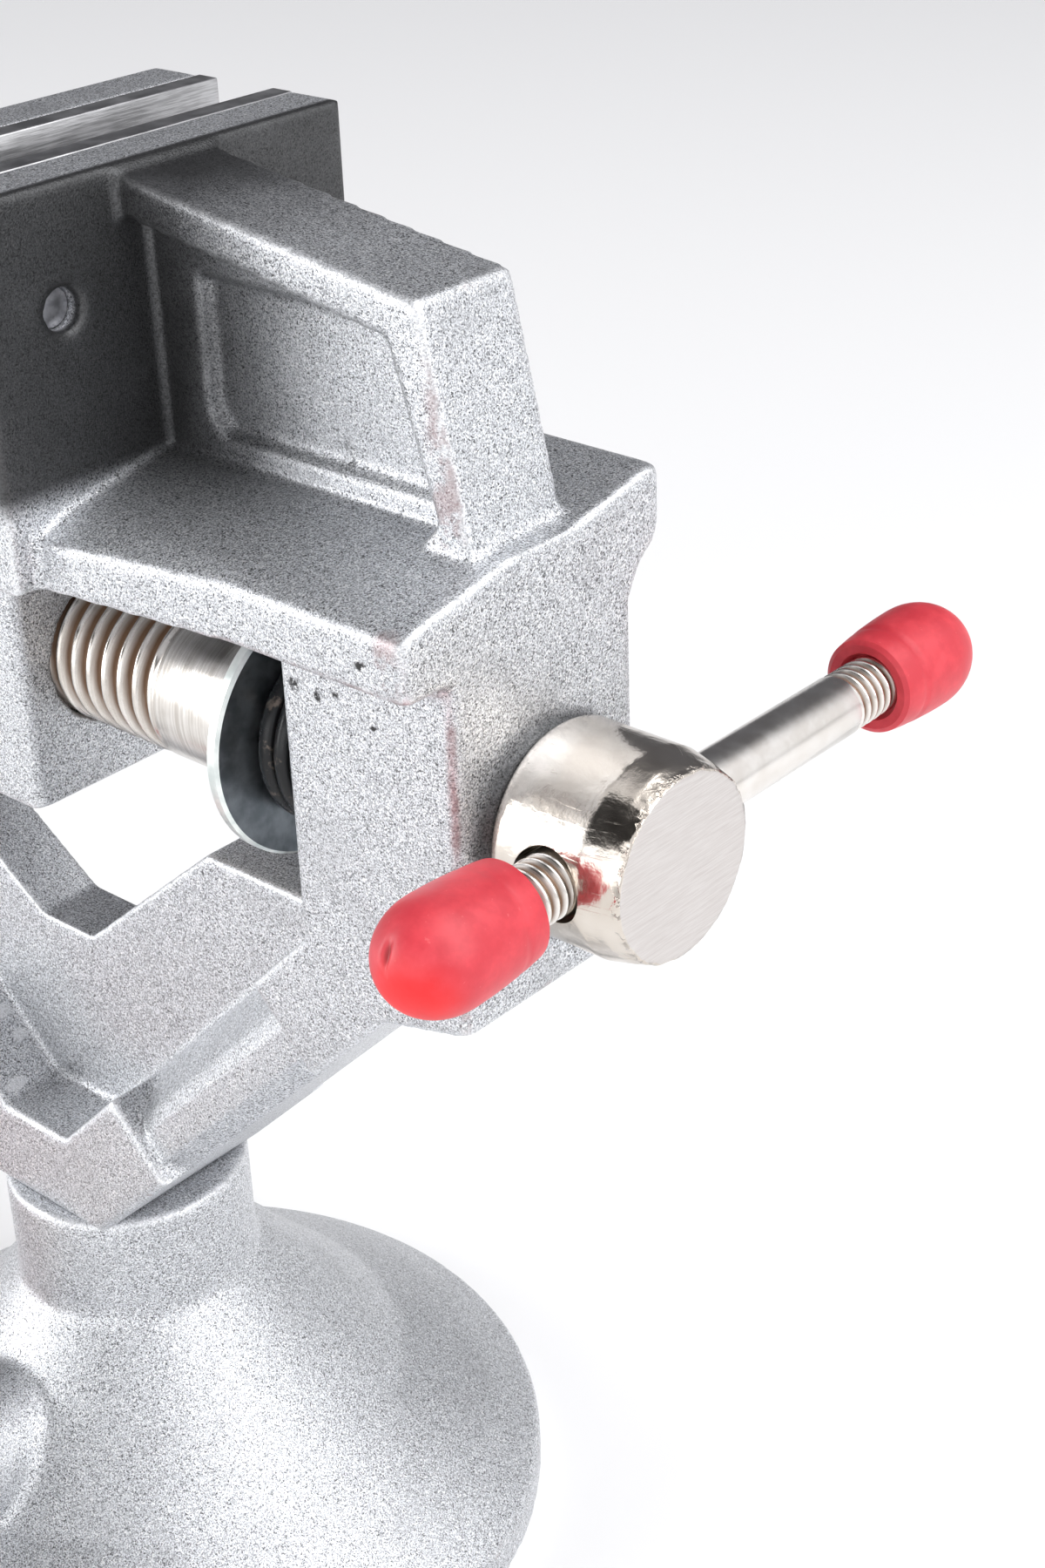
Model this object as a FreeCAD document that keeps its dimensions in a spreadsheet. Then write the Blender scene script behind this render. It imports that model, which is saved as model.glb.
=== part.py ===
"""Small bench vise on a suction base, as a parametric FreeCAD document.

Frame: X runs along the lead screw towards the handle, Z is up, and the origin is the
centre of the suction base on the bench.  Millimetres and degrees throughout.
"""
import FreeCAD, Part
import math
import os
import re
import Sketcher

V = FreeCAD.Vector
doc = FreeCAD.newDocument("suction_base_vise")

# ---------------------------------------------------------------- driving dimensions
SIZES = {
    # where the screw lies over the bench, and how far the frame reaches from the base
    "screw_height": 90.0,
    "front_reach": 52.0,
    "rear_reach": 52.0,
    # front and rear blocks of the frame
    "block_length": 16.0,
    "rear_block_length": 12.0,
    "block_width": 18.6,
    "block_drop": 13.4,
    "block_corner_radius": 1.0,
    "boss_radius": 6.8,
    "boss_height": 0.7,
    # rails that carry the sliding jaw
    "rail_rise": 13.2,
    "rail_thick": 6.6,
    "rail_nose_width": 26.4,
    "rail_width": 30.0,
    "nose_corner_radius": 2.0,
    "nose_arris_radius": 0.7,
    "ear_fillet": 1.3,
    "ear_flat": 3.0,
    "ear_crown": 1.3,
    "ear_crown_run": 1.6,
    "ear_drop": 1.7,
    "ear_rise": 1.8,
    "ear_lift": 3.6,
    "slot_width": 13.0,
    # struts, foot and window of the frame
    "base_height": 38.0,
    "strut_angle": 45.0,
    "kink_setback": 8.1,
    "kink_drop": 15.5,
    "flange_depth": 8.3,
    "strut_web_thick": 6.0,
    "floor_drop": 13.5,
    "floor_length": 17.0,
    "saddle_half_length": 3.0,
    "saddle_rise": 25.0,
    "recess_depth": 1.0,
    "recess_start": 11.3,
    "recess_length": 26.8,
    "recess_bevel": 1.75,
    "recess_shoulder": 4.4,
    "recess_top": 8.8,
    # jaws
    "jaw_setback": 38.0,
    "jaw_width": 34.0,
    "jaw_height": 20.6,
    "jaw_wall": 5.0,
    "jaw_gap": 6.0,
    "brace_setback": 2.0,
    "brace_lean": 13.0,
    "brace_thick": 2.8,
    "brace_width": 9.2,
    "brace_shoulder_drop": 4.5,
    "brace_foot_flare": 1.6,
    "jaw_web_thick": 4.2,
    "web_pocket_depth": 0.9,
    "web_pocket_setback": 4.6,
    "web_pocket_rise": 1.9,
    "plate_thick": 2.0,
    "plate_screw_spread": 20.0,
    "plate_screw_rise": 12.0,
    "plate_screw_radius": 1.5,
    "plate_screw_head_radius": 2.8,
    "plate_screw_depth": 5.5,
    # sliding jaw and its nut block
    "slide_length": 22.0,
    "slide_thick": 5.0,
    "nut_lead": 3.0,
    "nut_length": 16.0,
    "nut_drop": 11.0,
    "slide_screw_inset": 4.0,
    "slide_screw_spread": 8.6,
    "slide_screw_radius": 1.5,
    "slide_screw_head_radius": 2.75,
    "slide_screw_head_height": 3.0,
    "slide_screw_bite": 6.0,
    # lead screw and what turns on it
    "screw_radius": 6.0,
    "journal_radius": 4.5,
    "shoulder_gap": 7.6,
    "plain_shank_length": 7.5,
    "screw_tail_inset": 2.0,
    "washer_radius": 10.0,
    "washer_thick": 1.2,
    "spring_wire_radius": 0.75,
    "spring_turns": 3.0,
    "spring_clearance": 0.8,
    "head_radius": 7.5,
    "head_length": 10.5,
    "head_chamfer": 0.9,
    "head_taper": 3.0,
    "head_wall": 2.5,
    "bar_offset": 4.9,
    "bar_hole_radius": 2.75,
    # handle bar and caps
    "bar_radius": 2.35,
    "bar_thread_radius": 2.3,
    "bar_plain_length": 32.0,
    "bar_thread_length": 11.0,
    "bar_shift": 9.0,
    "cap_radius": 4.1,
    "cap_length": 11.0,
    "cap_bore_depth": 7.0,
    "cap_rim_radius": 3.9,
    # suction base
    "rim_radius": 36.0,
    "rim_height": 4.0,
    "neck_radius": 10.8,
    "neck_start": 27.5,
    "base_wall": 2.8,
    "base_top_thick": 8.0,
    "foot_screw_spread": 8.0,
    "foot_screw_radius": 2.0,
    "foot_screw_head_radius": 3.4,
    "foot_screw_head_height": 3.6,
    "foot_screw_bite": 6.0,
    "cup_radius": 32.5,
    "cup_lip": 2.2,
    "cup_crown": 1.2,
    "cup_hub_radius": 10.0,
    "cup_hub_height": 6.4,
    "plunger_foot_height": 3.2,
    "plunger_foot_radius": 7.0,
    "plunger_foot_thick": 1.6,
    "plunger_stem_radius": 3.5,
    "yoke_thick": 6.0,
    "yoke_wall": 1.4,
    # lever and its cam shaft
    "shaft_height": 17.0,
    "shaft_radius": 3.5,
    "shaft_boss_radius": 6.0,
    "shaft_boss_reach": 30.5,
    "shaft_boss_inside": 14.5,
    "shaft_far_inside": 10.0,
    "shaft_far_reach": 16.4,
    "cam_radius": 5.2,
    "cam_throw": 1.414,
    "cam_thick": 5.0,
    "lever_length": 48.0,
    "lever_thick": 4.5,
    "lever_hub_radius": 7.0,
    "lever_end_radius": 4.5,
    "grip_length": 22.0,
    "grip_wall": 1.6,
    "hub_pin_radius": 1.0,
    "clip_radius": 5.4,
    "clip_thick": 1.0,
    # clearances
    "running_gap": 0.05,
    "thread_gap": 0.05,
    "slide_gap": 0.15,
    "side_gap": 0.2,
    "seat_gap": 0.3,
    "cam_gap": 0.3,
}

sheet = doc.addObject("Spreadsheet::Sheet", "Sizes")
for row, (alias, number) in enumerate(SIZES.items(), start=1):
    sheet.set("A%d" % row, alias)
    sheet.set("B%d" % row, str(number))
    sheet.setAlias("B%d" % row, alias)
doc.recompute()


def bound(expression):
    """The expression with every size's name tied to its cell."""
    def tie(match):
        word = match.group(0)
        return "Sizes." + word if word in SIZES else word
    return re.sub(r"[a-z][a-z_]*", tie, expression)


def value(expression):
    """What an expression of sizes comes to now."""
    return float(sheet.evalExpression(bound(expression)))


def bind(thing, place, expression):
    thing.setExpression(place, bound(expression))


# ------------------------------------------------------------- places shared by pieces
BLOCK_BACK = "(front_reach - block_length)"
BLOCK_BASE = "(screw_height - block_drop)"
REAR_BLOCK_FACE = "(rear_block_length - rear_reach)"
RAIL_UNDER = "(screw_height + rail_rise)"
RAIL_TOP = "(screw_height + rail_rise + rail_thick)"
KINK_HEIGHT = "(screw_height - kink_drop)"
FOOT_FRONT = "(front_reach - kink_setback - (screw_height - kink_drop - base_height) / tan(strut_angle))"
FOOT_REAR = "(kink_setback - rear_reach + (screw_height - kink_drop - base_height) / tan(strut_angle))"
FLANGE_RISE = "(flange_depth / cos(strut_angle))"
FLANGE_RUN = "(flange_depth * (1 - cos(strut_angle)) / sin(strut_angle))"
FLOOR = "(screw_height - floor_drop)"
JAW_FACE = "(front_reach - jaw_setback)"
JAW_TOP = "(screw_height + rail_rise + rail_thick + jaw_height)"
SLIDE_UNDER = "(screw_height + rail_rise + rail_thick + slide_gap)"
SLIDE_TOP = "(screw_height + rail_rise + rail_thick + slide_gap + slide_thick)"
MOVING_FACE = "(front_reach - jaw_setback - 2 * plate_thick - jaw_gap)"
SLIDE_BACK = "(front_reach - jaw_setback - 2 * plate_thick - jaw_gap - slide_length)"
NUT_FRONT = "(front_reach - jaw_setback - 2 * plate_thick - jaw_gap + nut_lead)"
NUT_BACK = "(front_reach - jaw_setback - 2 * plate_thick - jaw_gap + nut_lead - nut_length)"
NUT_TOP = "(screw_height + rail_rise - slide_gap)"
SHOULDER = "(front_reach - block_length - shoulder_gap)"
HEAD_BACK = "(front_reach + boss_height + seat_gap)"
BAR_X = "(front_reach + boss_height + seat_gap + bar_offset)"
JOURNAL_END = "(front_reach + boss_height + seat_gap + head_length - head_wall)"
BASE_CEILING = "(base_height - base_top_thick)"
CAM_HEIGHT = "(shaft_height - cam_throw * sin(45))"


class Piece:
    """One PartDesign body: pads, pockets and turned profiles bound to the sheet."""

    def __init__(self, label, at=("0", "0", "0")):
        self.body = doc.addObject("PartDesign::Body", label)
        self.body.Label = label
        for axis, expression in zip("xyz", at):
            bind(self.body, "Placement.Base." + axis, expression)

    def origin(self, role):
        return [item for item in self.body.Origin.OriginFeatures if item.Role == role][0]

    def sketch(self, plane, lift="0"):
        made = self.body.newObject("Sketcher::SketchObject", self.body.Label + "_sketch")
        made.AttachmentSupport = [(self.origin(plane), "")]
        made.MapMode = "FlatFace"
        bind(made, "AttachmentOffset.Base.z", lift)
        return made

    def polygons(self, plane, outlines, lift="0"):
        """A sketch of closed outlines, each a list of (across, up) expressions."""
        made = self.sketch(plane, lift)
        for outline in outlines:
            first = made.GeometryCount
            seeds = [V(value(across), value(up), 0) for across, up in outline]
            for index, start in enumerate(seeds):
                made.addGeometry(Part.LineSegment(start, seeds[(index + 1) % len(seeds)]))
            for index, (across, up) in enumerate(outline):
                edge = first + index
                after = first + (index + 1) % len(outline)
                made.addConstraint(Sketcher.Constraint("Coincident", edge, 2, after, 1))
                self.dimension(made, "DistanceX", edge, across)
                self.dimension(made, "DistanceY", edge, up)
        return made

    def dimension(self, made, kind, edge, expression):
        spot = Sketcher.Constraint(kind, -1, 1, edge, 1, value(expression))
        number = made.addConstraint(spot)
        bind(made, "Constraints[%d]" % number, expression)

    def circles(self, plane, rounds, lift="0"):
        """A sketch of circles, each (across, up, radius) in expressions."""
        made = self.sketch(plane, lift)
        for across, up, radius in rounds:
            centre = V(value(across), value(up), 0)
            circle = made.addGeometry(Part.Circle(centre, V(0, 0, 1), value(radius)))
            size = made.addConstraint(Sketcher.Constraint("Radius", circle, value(radius)))
            bind(made, "Constraints[%d]" % size, radius)
            for kind, place in (("DistanceX", across), ("DistanceY", up)):
                spot = Sketcher.Constraint(kind, -1, 1, circle, 3, value(place))
                number = made.addConstraint(spot)
                bind(made, "Constraints[%d]" % number, place)
        return made

    def pad(self, sketch, length, side="Symmetric", reverse=False):
        return self.extrude("PartDesign::Pad", sketch, length, side, reverse)

    def pocket(self, sketch, length, side="Symmetric", reverse=False):
        before = self.body.Shape.Volume
        made = self.extrude("PartDesign::Pocket", sketch, length, side, reverse)
        assert self.body.Shape.Volume < before, self.body.Label + ": a pocket cut nothing"
        return made

    def extrude(self, kind, sketch, length, side, reverse):
        made = self.body.newObject(kind, self.body.Label + "_step")
        made.Profile = (sketch, [""])
        made.SideType = side
        made.Reversed = reverse
        bind(made, "Length", length)
        doc.recompute()
        return made

    def turn(self, outline, axis="X_Axis", plane="XZ_Plane"):
        made = self.body.newObject("PartDesign::Revolution", self.body.Label + "_turned")
        made.Profile = (self.polygons(plane, [outline]), [""])
        made.ReferenceAxis = (self.origin(axis), [""])
        made.Angle = 360
        doc.recompute()
        return made

    def soften(self, radius, chosen):
        """Round the edges of the tip that the test picks, if there are any."""
        tip = self.body.Tip
        names = ["Edge%d" % number for number, edge in enumerate(tip.Shape.Edges, start=1) if chosen(edge)]
        made = self.body.newObject("PartDesign::Fillet", self.body.Label + "_rounded")
        made.Base = (tip, names)
        bind(made, "Radius", radius)
        doc.recompute()
        return made


def is_line(edge):
    return isinstance(edge.Curve, (Part.Line, Part.LineSegment))


def is_upright(edge):
    run = edge.Vertexes[-1].Point - edge.Vertexes[0].Point
    return is_line(edge) and abs(run.x) + abs(run.y) < 0.01


def middle(edge):
    return edge.BoundBox.Center


def minus(expression):
    return "(0 - %s)" % expression


def block(front, back, low, high):
    """A rectangle's outline from four expressions."""
    return [(back, low), (front, low), (front, high), (back, high)]


def ring_profile(start, end, inner, outer):
    return [(start, inner), (end, inner), (end, outer), (start, outer)]


def low_line(across):
    """Height of the front strut's lower edge at a distance from the base axis."""
    return "(screw_height - kink_drop - (front_reach - kink_setback - %s) * tan(strut_angle))" % across


def rear_low_line(across):
    return "(screw_height - kink_drop - (rear_reach - kink_setback + %s) * tan(strut_angle))" % across


# ================================================================ frame of the vise
frame = Piece("vise_frame")

# one wide outline: front block, struts, foot and rear block
frame.pad(frame.polygons("XZ_Plane", [[
    ("front_reach", RAIL_TOP),
    (BLOCK_BACK, RAIL_TOP),
    (BLOCK_BACK, "%s + %s" % (low_line(BLOCK_BACK), FLANGE_RISE)),
    ("%s - %s" % (FOOT_FRONT, FLANGE_RUN), "base_height + flange_depth"),
    ("%s + %s" % (FOOT_REAR, FLANGE_RUN), "base_height + flange_depth"),
    (REAR_BLOCK_FACE, "%s + %s" % (rear_low_line(REAR_BLOCK_FACE), FLANGE_RISE)),
    (REAR_BLOCK_FACE, RAIL_TOP),
    ("-rear_reach", RAIL_TOP),
    ("-rear_reach", BLOCK_BASE),
    ("kink_setback - rear_reach", KINK_HEIGHT),
    (FOOT_REAR, "base_height"),
    (FOOT_FRONT, "base_height"),
    ("front_reach - kink_setback", KINK_HEIGHT),
    ("front_reach", BLOCK_BASE),
]]), "block_width")
frame.soften("block_corner_radius", lambda edge: is_upright(edge) and middle(edge).z < value(RAIL_TOP)
             and middle(edge).z > value("screw_height"))

# web that fills the frame under the window
frame.pad(frame.polygons("XZ_Plane", [[
    (BLOCK_BACK, FLOOR),
    ("%s - floor_length" % BLOCK_BACK, FLOOR),
    ("saddle_half_length", "base_height + saddle_rise"),
    ("-saddle_half_length", "base_height + saddle_rise"),
    ("%s + floor_length" % REAR_BLOCK_FACE, FLOOR),
    (REAR_BLOCK_FACE, FLOOR),
    (REAR_BLOCK_FACE, rear_low_line(REAR_BLOCK_FACE)),
    (FOOT_REAR, "base_height"),
    (FOOT_FRONT, "base_height"),
    (BLOCK_BACK, low_line(BLOCK_BACK)),
]]), "strut_web_thick")

# rails, wider under the jaws, with rounded nose corners
frame.pad(frame.polygons("XY_Plane", [[
    ("front_reach", "-rail_nose_width / 2"),
    ("front_reach", "rail_nose_width / 2"),
    (BLOCK_BACK, "rail_nose_width / 2"),
    ("%s + jaw_wall" % JAW_FACE, "rail_width / 2"),
    ("-rear_reach", "rail_width / 2"),
    ("-rear_reach", "-rail_width / 2"),
    ("%s + jaw_wall" % JAW_FACE, "-rail_width / 2"),
    (BLOCK_BACK, "-rail_nose_width / 2"),
]], RAIL_UNDER), "rail_thick", "One side")

# the shelf in front of the fixed jaw tips: its left ear hangs lower, its right one stands higher
frame.pad(frame.polygons("XY_Plane", [[
    ("front_reach", "-rail_nose_width / 2"),
    ("front_reach", "rail_nose_width / 2"),
    (BLOCK_BACK, "rail_nose_width / 2"),
    ("%s + jaw_wall" % JAW_FACE, "rail_width / 2"),
    ("%s + jaw_wall" % JAW_FACE, "-rail_width / 2"),
    (BLOCK_BACK, "-rail_nose_width / 2"),
]], "%s - 1" % RAIL_TOP), "1 + 2 * ear_rise", "One side")
for nose_side, nose_radius in ((-1, "nose_arris_radius"), (1, "nose_corner_radius")):
    frame.soften(nose_radius, lambda edge: is_upright(edge)
                 and middle(edge).x > value("front_reach") - 1
                 and nose_side * middle(edge).y > value("rail_nose_width") / 2 - 1)
frame.pocket(frame.polygons("YZ_Plane", [[
    ("-rail_width", "%s - ear_drop - ear_crown" % RAIL_TOP),
    ("-rail_width / 2", "%s - ear_drop - ear_crown" % RAIL_TOP),
    ("ear_crown_run - rail_nose_width / 2", "%s - ear_drop" % RAIL_TOP),
    ("-ear_flat", RAIL_TOP),
    ("ear_flat", RAIL_TOP),
    ("rail_nose_width / 2 - ear_crown_run", "%s + ear_rise" % RAIL_TOP),
    ("rail_width / 2", "%s + ear_rise - ear_crown" % RAIL_TOP),
    ("rail_width", "%s + ear_rise - ear_crown" % RAIL_TOP),
    ("rail_width", "%s + 9 * ear_rise" % RAIL_TOP),
    ("-rail_width", "%s + 9 * ear_rise" % RAIL_TOP),
], [
    ("block_width / 2", "%s - 1" % RAIL_UNDER),
    ("block_width / 2", "%s + 0.1 * ear_lift" % RAIL_UNDER),
    ("block_width / 2 + 0.8", "%s + 0.5 * ear_lift" % RAIL_UNDER),
    ("block_width / 2 + 2.4", "%s + 0.85 * ear_lift" % RAIL_UNDER),
    ("rail_nose_width / 2", "%s + 1.1 * ear_lift" % RAIL_UNDER),
    ("rail_width / 2 + 1", "%s + 1.5 * ear_lift" % RAIL_UNDER),
    ("rail_width / 2 + 1", "%s - 1" % RAIL_UNDER),
]], "%s + jaw_wall" % JAW_FACE), "jaw_setback - jaw_wall + 1", "One side", True)

# the gusset under the left ear
frame.pad(frame.polygons("YZ_Plane", [[
    ("1 - block_width / 2", "%s + 0.5" % RAIL_UNDER),
    ("1 - block_width / 2", "%s - 1.2 * ear_fillet" % RAIL_UNDER),
    ("0 - block_width / 2", "%s - ear_fillet" % RAIL_UNDER),
    ("0 - block_width / 2 - 0.25 * ear_fillet", "%s - 0.3 * ear_fillet" % RAIL_UNDER),
    ("0 - block_width / 2 - ear_fillet", RAIL_UNDER),
    ("0 - block_width / 2 - ear_fillet", "%s + 0.5" % RAIL_UNDER),
]], BLOCK_BACK), "block_length - block_corner_radius", "One side")

# fixed jaw: wall, web and the leaning brace with its roof
BRACE_FOOT = "(front_reach - brace_setback)"
BRACE_SHOULDER = "(screw_height + rail_rise + rail_thick + jaw_height - brace_shoulder_drop)"
BRACE_TOP = "(front_reach - brace_setback - (jaw_height - brace_shoulder_drop) * tan(brace_lean))"
frame.pad(frame.polygons("XZ_Plane", [block("%s + jaw_wall" % JAW_FACE, JAW_FACE, RAIL_UNDER, JAW_TOP)]),
          "jaw_width")
frame.pad(frame.polygons("XZ_Plane", [[
    ("%s - brace_thick" % BRACE_FOOT, RAIL_UNDER),
    (BRACE_FOOT, RAIL_UNDER),
    (BRACE_FOOT, RAIL_TOP),
    (BRACE_TOP, BRACE_SHOULDER),
    ("%s + 1" % JAW_FACE, JAW_TOP),
    ("%s + 1" % JAW_FACE, "%s - brace_thick" % JAW_TOP),
    ("%s - brace_thick" % BRACE_TOP, "%s - brace_thick" % BRACE_SHOULDER),
    ("%s - brace_thick" % BRACE_FOOT, "%s + brace_foot_flare" % RAIL_TOP),
    ("%s - brace_thick - brace_foot_flare" % BRACE_FOOT, RAIL_TOP),
]]), "brace_width")
frame.pad(frame.polygons("XZ_Plane", [[
    ("%s + 1" % JAW_FACE, RAIL_UNDER),
    ("%s - 1" % BRACE_FOOT, RAIL_UNDER),
    ("%s - 1" % BRACE_FOOT, RAIL_TOP),
    ("%s - 1" % BRACE_TOP, "%s - 1" % BRACE_SHOULDER),
    ("%s + 1" % JAW_FACE, "%s - 1" % JAW_TOP),
]]), "jaw_web_thick")

# shallow pocket in each side of the jaw's web
web_pocket = [[
    ("%s + jaw_wall + web_pocket_setback + 1.5" % JAW_FACE, "%s + web_pocket_rise" % RAIL_TOP),
    ("%s - brace_thick - 0.4" % BRACE_FOOT, "%s + web_pocket_rise" % RAIL_TOP),
    ("%s - brace_thick - 0.2" % BRACE_TOP, "%s - brace_thick" % BRACE_SHOULDER),
    ("%s + jaw_wall + web_pocket_setback" % JAW_FACE, "%s - brace_thick" % BRACE_SHOULDER),
    ("%s + jaw_wall + web_pocket_setback" % JAW_FACE, "%s + web_pocket_rise + 1.5" % RAIL_TOP),
]]
frame.pocket(frame.polygons("XZ_Plane", web_pocket, "jaw_web_thick / 2"), "web_pocket_depth", "One side")
frame.pocket(frame.polygons("XZ_Plane", web_pocket, "-jaw_web_thick / 2"), "web_pocket_depth",
             "One side", True)

# round boss that the handle's head runs on, then the two bearings of the screw
frame.pad(frame.circles("YZ_Plane", [("0", "screw_height", "boss_radius")], "front_reach"),
          "boss_height", "One side")
frame.pocket(frame.circles("YZ_Plane", [("0", "screw_height", "journal_radius + running_gap")],
                           "front_reach + boss_height"), "block_length + boss_height", "One side")
frame.pocket(frame.circles("YZ_Plane", [("0", "screw_height", "screw_radius + running_gap")],
                           REAR_BLOCK_FACE), "rear_block_length", "One side")

# slot between the rails for the neck of the sliding jaw
frame.pocket(frame.polygons("XY_Plane", [block(JAW_FACE, REAR_BLOCK_FACE, "-slot_width / 2",
                                               "slot_width / 2")], RAIL_TOP), "rail_thick", "One side")

# recesses in the four outer sides of the struts: a bevel, a flat and a slope up to the web


def recess(side, up):
    """What is cut from one side of a strut, seen along it, as (out, height over its lower edge)."""
    return [("%s * (%s)" % (side, out), "%s * (%s)" % (up, high)) for out, high in (
        ("block_width / 2 + 2", "-1"),
        ("block_width / 2 - recess_depth - recess_bevel", "-1"),
        ("block_width / 2 - recess_depth - recess_bevel", "0"),
        ("block_width / 2 - recess_depth", "recess_bevel"),
        ("block_width / 2 - recess_depth", "recess_shoulder"),
        ("0.85 * block_width / 2 - recess_depth + 0.15 * strut_web_thick / 2",
         "0.68 * recess_shoulder + 0.32 * recess_top"),
        ("0.52 * block_width / 2 - recess_depth + 0.48 * strut_web_thick / 2",
         "0.35 * recess_shoulder + 0.65 * recess_top"),
        ("strut_web_thick / 2 + 0.05", "recess_top"),
        ("strut_web_thick / 2 + 0.05", "recess_top + 4"),
        ("block_width / 2 + 2", "recess_top + 4"),
    )]


RECESS_RUN = "(kink_setback + recess_start * cos(strut_angle))"
RECESS_HEIGHT = "(screw_height - kink_drop - recess_start * sin(strut_angle))"
for place, tilt, up in (("front_reach - " + RECESS_RUN, "0 - strut_angle", "1"),
                        (RECESS_RUN + " - rear_reach", "strut_angle - 180", "-1")):
    section = frame.polygons("YZ_Plane", [recess("-1", up), recess("1", up)], place)
    bind(section, "AttachmentOffset.Base.y", RECESS_HEIGHT)
    section.AttachmentOffset.Rotation = FreeCAD.Rotation(V(1, 0, 0), value(tilt))
    bind(section, "AttachmentOffset.Rotation.Angle", tilt)
    doc.recompute()
    frame.pocket(section, "recess_length", "One side")

# tapped holes for the screws from the base, and for the jaw plate's screws
FOOT_SPOTS = [("-foot_screw_spread / 2", "0"), ("foot_screw_spread / 2", "0")]
frame.pocket(frame.circles("XY_Plane", [(along, wide, "foot_screw_radius + thread_gap")
                                        for along, wide in FOOT_SPOTS], "base_height"),
             "foot_screw_bite + seat_gap", "One side", True)
PLATE_SPOTS = [("-plate_screw_spread / 2", "%s + plate_screw_rise" % RAIL_TOP),
               ("plate_screw_spread / 2", "%s + plate_screw_rise" % RAIL_TOP)]
frame.pocket(frame.circles("YZ_Plane", [(side, up, "plate_screw_radius + thread_gap")
                                        for side, up in PLATE_SPOTS], JAW_FACE),
             "jaw_wall", "One side", True)

# ================================================================ jaw plates and screws


def jaw_plate(label, near, far):
    """Steel face between two X places, with countersunk holes opening at the far one."""
    made = Piece(label)
    made.pad(made.polygons("YZ_Plane", [[
        ("-jaw_width / 2", "%s + seat_gap" % RAIL_TOP),
        ("jaw_width / 2", "%s + seat_gap" % RAIL_TOP),
        ("jaw_width / 2", JAW_TOP),
        ("-jaw_width / 2", JAW_TOP),
    ]], near), "plate_thick", "One side", value(far) < value(near))
    made.pocket(made.circles("YZ_Plane", [(side, up, "plate_screw_radius + seat_gap")
                                          for side, up in PLATE_SPOTS], near),
                "3 * plate_thick", "Symmetric")
    for side, up in PLATE_SPOTS:
        cone = made.body.newObject("PartDesign::SubtractiveCone", label + "_sink")
        cone.AttachmentSupport = [(made.origin("YZ_Plane"), "")]
        cone.MapMode = "FlatFace"
        bind(cone, "AttachmentOffset.Base.x", side)
        bind(cone, "AttachmentOffset.Base.y", up)
        low, high = sorted((near, far), key=value)
        bind(cone, "AttachmentOffset.Base.z", low)
        wide = "plate_screw_head_radius + running_gap"
        slim = "plate_screw_radius + running_gap"
        bind(cone, "Radius1", wide if low == far else slim)
        bind(cone, "Radius2", slim if low == far else wide)
        bind(cone, "Height", "plate_thick")
    doc.recompute()
    return made


def plate_screws(label, near, far, into):
    """Two countersunk screws; into is the sign of X that they are driven along."""
    made = doc.addObject("Part::Feature", label)
    made.Label = label
    head_radius = value("plate_screw_head_radius")
    shank_radius = value("plate_screw_radius")
    reach = value("plate_screw_depth")
    thick = value("plate_thick")
    drive = V(into, 0, 0)
    solids = []
    for side, up in PLATE_SPOTS:
        seat = V(value(far) + into * value("running_gap"), value(side), value(up))
        head = Part.makeCone(head_radius, shank_radius, thick, seat, drive)
        shank = Part.makeCylinder(shank_radius, reach, seat, drive)
        slot = Part.makeBox(1.2, 2.4 * head_radius, 0.8)
        slot.translate(seat + V(-0.6, -1.2 * head_radius, -0.4))
        solids.append(head.fuse(shank).cut(slot).removeSplitter())
    made.Shape = Part.makeCompound(solids)
    return made


FIXED_PLATE_FACE = "(front_reach - jaw_setback - plate_thick)"
MOVING_PLATE_FACE = "(front_reach - jaw_setback - plate_thick - jaw_gap)"
jaw_plate("fixed_jaw_plate", JAW_FACE, FIXED_PLATE_FACE)
jaw_plate("moving_jaw_plate", MOVING_FACE, MOVING_PLATE_FACE)
plate_screws("fixed_plate_screws", JAW_FACE, FIXED_PLATE_FACE, 1)
plate_screws("moving_plate_screws", MOVING_FACE, MOVING_PLATE_FACE, -1)

# ================================================================ sliding jaw
jaw = Piece("sliding_jaw")
SLIDE_SPOTS = [("%s + slide_screw_inset" % NUT_BACK, "-slide_screw_spread / 2"),
               ("%s + slide_screw_inset" % NUT_BACK, "slide_screw_spread / 2")]
SLIDE_BRACE_FOOT = "(%s + brace_setback)" % SLIDE_BACK
SLIDE_RISE = "(jaw_height - brace_shoulder_drop - slide_gap - slide_thick)"
SLIDE_BRACE_TOP = "(%s + %s * tan(brace_lean))" % (SLIDE_BRACE_FOOT, SLIDE_RISE)
jaw.pad(jaw.polygons("XY_Plane", [block(MOVING_FACE, SLIDE_BACK, "-rail_width / 2", "rail_width / 2")],
                     SLIDE_UNDER), "slide_thick", "One side")
jaw.soften("nose_corner_radius", lambda edge: is_upright(edge) and middle(edge).x < value(SLIDE_BACK) + 1)
jaw.pad(jaw.polygons("XZ_Plane", [block(MOVING_FACE, "%s - jaw_wall" % MOVING_FACE, SLIDE_UNDER, JAW_TOP)]),
        "jaw_width")
jaw.pad(jaw.polygons("XZ_Plane", [[
    (SLIDE_BRACE_FOOT, SLIDE_UNDER),
    ("%s + brace_thick" % SLIDE_BRACE_FOOT, SLIDE_UNDER),
    ("%s + brace_thick" % SLIDE_BRACE_FOOT, SLIDE_TOP),
    ("%s + brace_thick" % SLIDE_BRACE_TOP, BRACE_SHOULDER),
    (SLIDE_BRACE_TOP, BRACE_SHOULDER),
    (SLIDE_BRACE_FOOT, SLIDE_TOP),
]]), "brace_width")
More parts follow.
